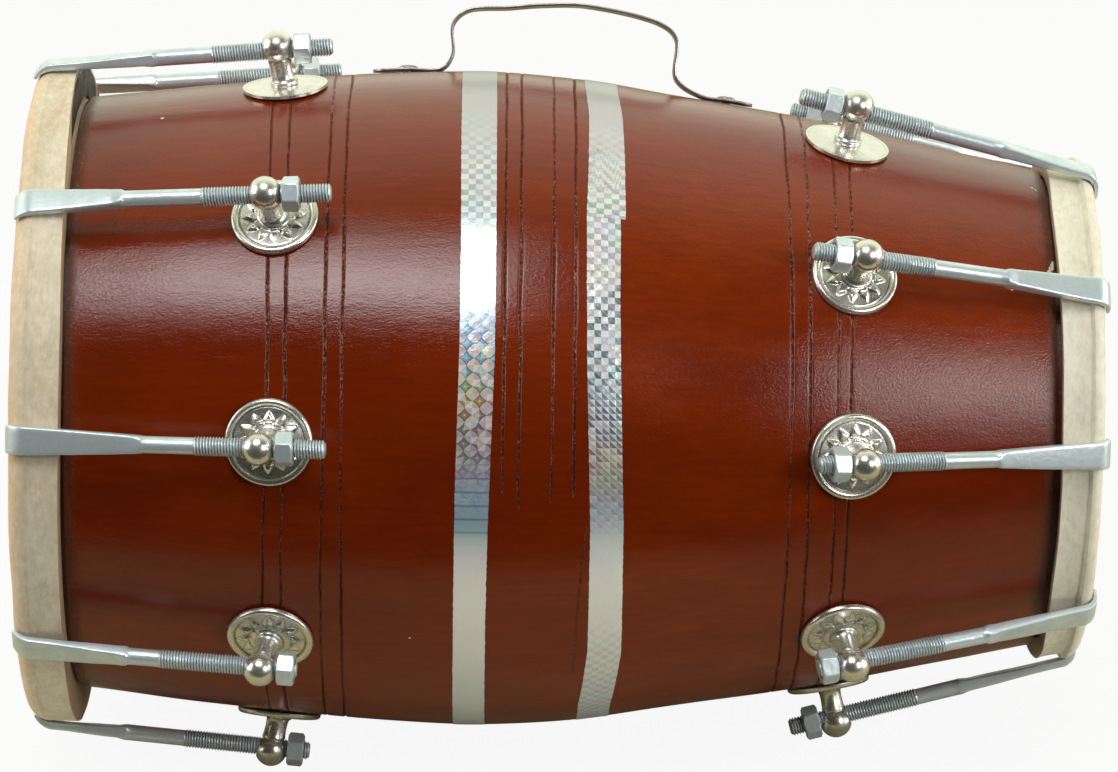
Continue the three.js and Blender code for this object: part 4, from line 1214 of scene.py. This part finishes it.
setNames = ("eye_post", "post", "hook_bolt", "hook", "hex_nut", "nut")
nutMesh = makeNut()
nutPlace = Matrix.Translation((-(postLook["ballRadius"] + nutLook["height"] / 2) * mm, 0, 0))
for sideName, side in sides.items():
    column = None
    rng = np.random.default_rng(77 if side["turn"] < 0 else 78)
    seat = Matrix.Translation(Vector((side["postX"], 0, side["seat"])) * mm)
    for i in range(1, 10):
        station, angle, bolt, fall, eye = hookSet(sideName, i)
        column = column or makeColumn(side, eye, fall)
        names = {kind: f"{sideName}_{kind}_{i}" for kind in setNames}
        phase, plain = rng.uniform(0, fullTurn), i in postLook["plainDiscs"]
        postMesh = makePost(names["eye_post"], side, column, phase, plain)
        put(names["eye_post"], postMesh, station @ seat, nickel, "root", "nickel", names["post"])
        put(names["hook_bolt"], makeBolt(names["hook_bolt"], side, i), bolt, zinc, names["hook"], "zinc",
            names["hook"])
        nutMatrix = bolt @ nutPlace @ Matrix.Rotation(angle, 4, "X")
        put(names["hex_nut"], nutMesh.copy(), nutMatrix, zinc, names["nut"], "zinc", names["nut"])
    print(sideName, "hook sets built")

put("strap_handle", makeStrap(), drumMatrix, strapSteel, "root", "dark_steel", "handle")
for sideName, slotTurn in (("bass", 0.9), ("treble", 2.2)):
    screw = makeScrew(f"strap_screw_{sideName}", strapLook[f"{sideName}Foot"], slotTurn)
    screw.data.materials.append(strapSteel)
    ridden(screw, "root", "dark_steel")
print("handle built")

# the floor, which ends a little in front of the drum, so that the lacquer mirrors the dark room
floorPlan = {"wide": 3.0, "front": -0.3, "back": 4.0}


def makeStage():
    wide, front, back = floorPlan.values()
    floor = bpy.data.meshes.new("floor")
    corners = [(-wide, front, 0), (wide, front, 0), (wide, back, 0), (-wide, back, 0)]
    floor.from_pydata(corners, [], [(0, 1, 2, 3)])
    newObject("floor", floor, makeFloor())


# lamps: azimuth from the camera's side towards the treble end, elevation towards the handle's
# side, distance, width and height in metres, and radiance
lamps = {
    "softbox": (-11.0, 43.0, 2.5, 1.25, 1.15, 3.8),
    "softbox_low": (-13.0, 37.5, 2.49, 1.08, 0.66, 5.6),
    "side_lamp": (39.5, 6.8, 2.5, 0.66, 0.82, 12.0),
    "side_glow": (38.0, 6.5, 2.51, 0.86, 1.05, 0.7),
    "left_fill": (-78.0, 16.0, 2.5, 1.5, 1.5, 3.8),
    "right_fill": (84.0, 10.0, 2.5, 1.5, 1.5, 4.0),
}


def makeLamp(name):
    azimuth, elevation, distance, width, height, radiance = lamps[name]
    data = bpy.data.lights.new(name, "AREA")
    data.shape = "RECTANGLE"
    data.size, data.size_y = width, height
    data.energy = radiance * halfTurn * width * height
    az, el = math.radians(azimuth), math.radians(elevation)
    toLamp = Vector((math.sin(az) * math.cos(el), -math.cos(az) * math.cos(el), math.sin(el)))
    side = Vector((math.cos(az), math.sin(az), 0))
    place = drumMatrix @ matrixFrom(side, toLamp.cross(side), toLamp, toLamp * distance)
    newObject(name, data, matrix=place).visible_camera = False


# the room: dark behind the camera, brighter overhead and towards the back
room = {"towards": 150.0, "darkTo": -0.2, "lightFrom": 0.7, "least": 0.02, "most": 1.2,
        "warm": (0.87, 1.0, 0.62), "plain": (0.95, 1.0, 0.82), "warmTo": 0.5, "plainFrom": 1.2,
        "shown": (0.97, 0.97, 0.965)}


def makeWorld():
    world = bpy.data.worlds.new("surroundings")
    bpy.context.scene.world = world
    world.use_nodes = True
    tree = world.node_tree
    back = next(node for node in tree.nodes if node.type == "BACKGROUND").inputs
    turn = math.radians(room["towards"])
    towards = drumUp * math.sin(turn) - drumBack * math.cos(turn)
    way = tree.nodes.new("ShaderNodeTexCoord").outputs["Generated"]
    facing = vectorMaths("DOT_PRODUCT", way, towards, "Value")
    glow = spread(facing, room["darkTo"], room["lightFrom"], room["least"], room["most"])
    path = tree.nodes.new("ShaderNodeLightPath").outputs
    seen = most(path["Is Camera Ray"], path["Is Transmission Ray"])
    colour = mixed(spread(glow, room["warmTo"], room["plainFrom"]), room["warm"], room["plain"])
    plug(mixed(seen, colour, room["shown"]), back["Color"])
    plug(addNode(tree, "ShaderNodeMix", {0: seen, 2: glow, 3: 1.0}).outputs[0], back["Strength"])


makeStage()
for lampName in lamps:
    makeLamp(lampName)
makeWorld()
bpy.context.scene.view_settings.view_transform = "Standard"
print("stage built")
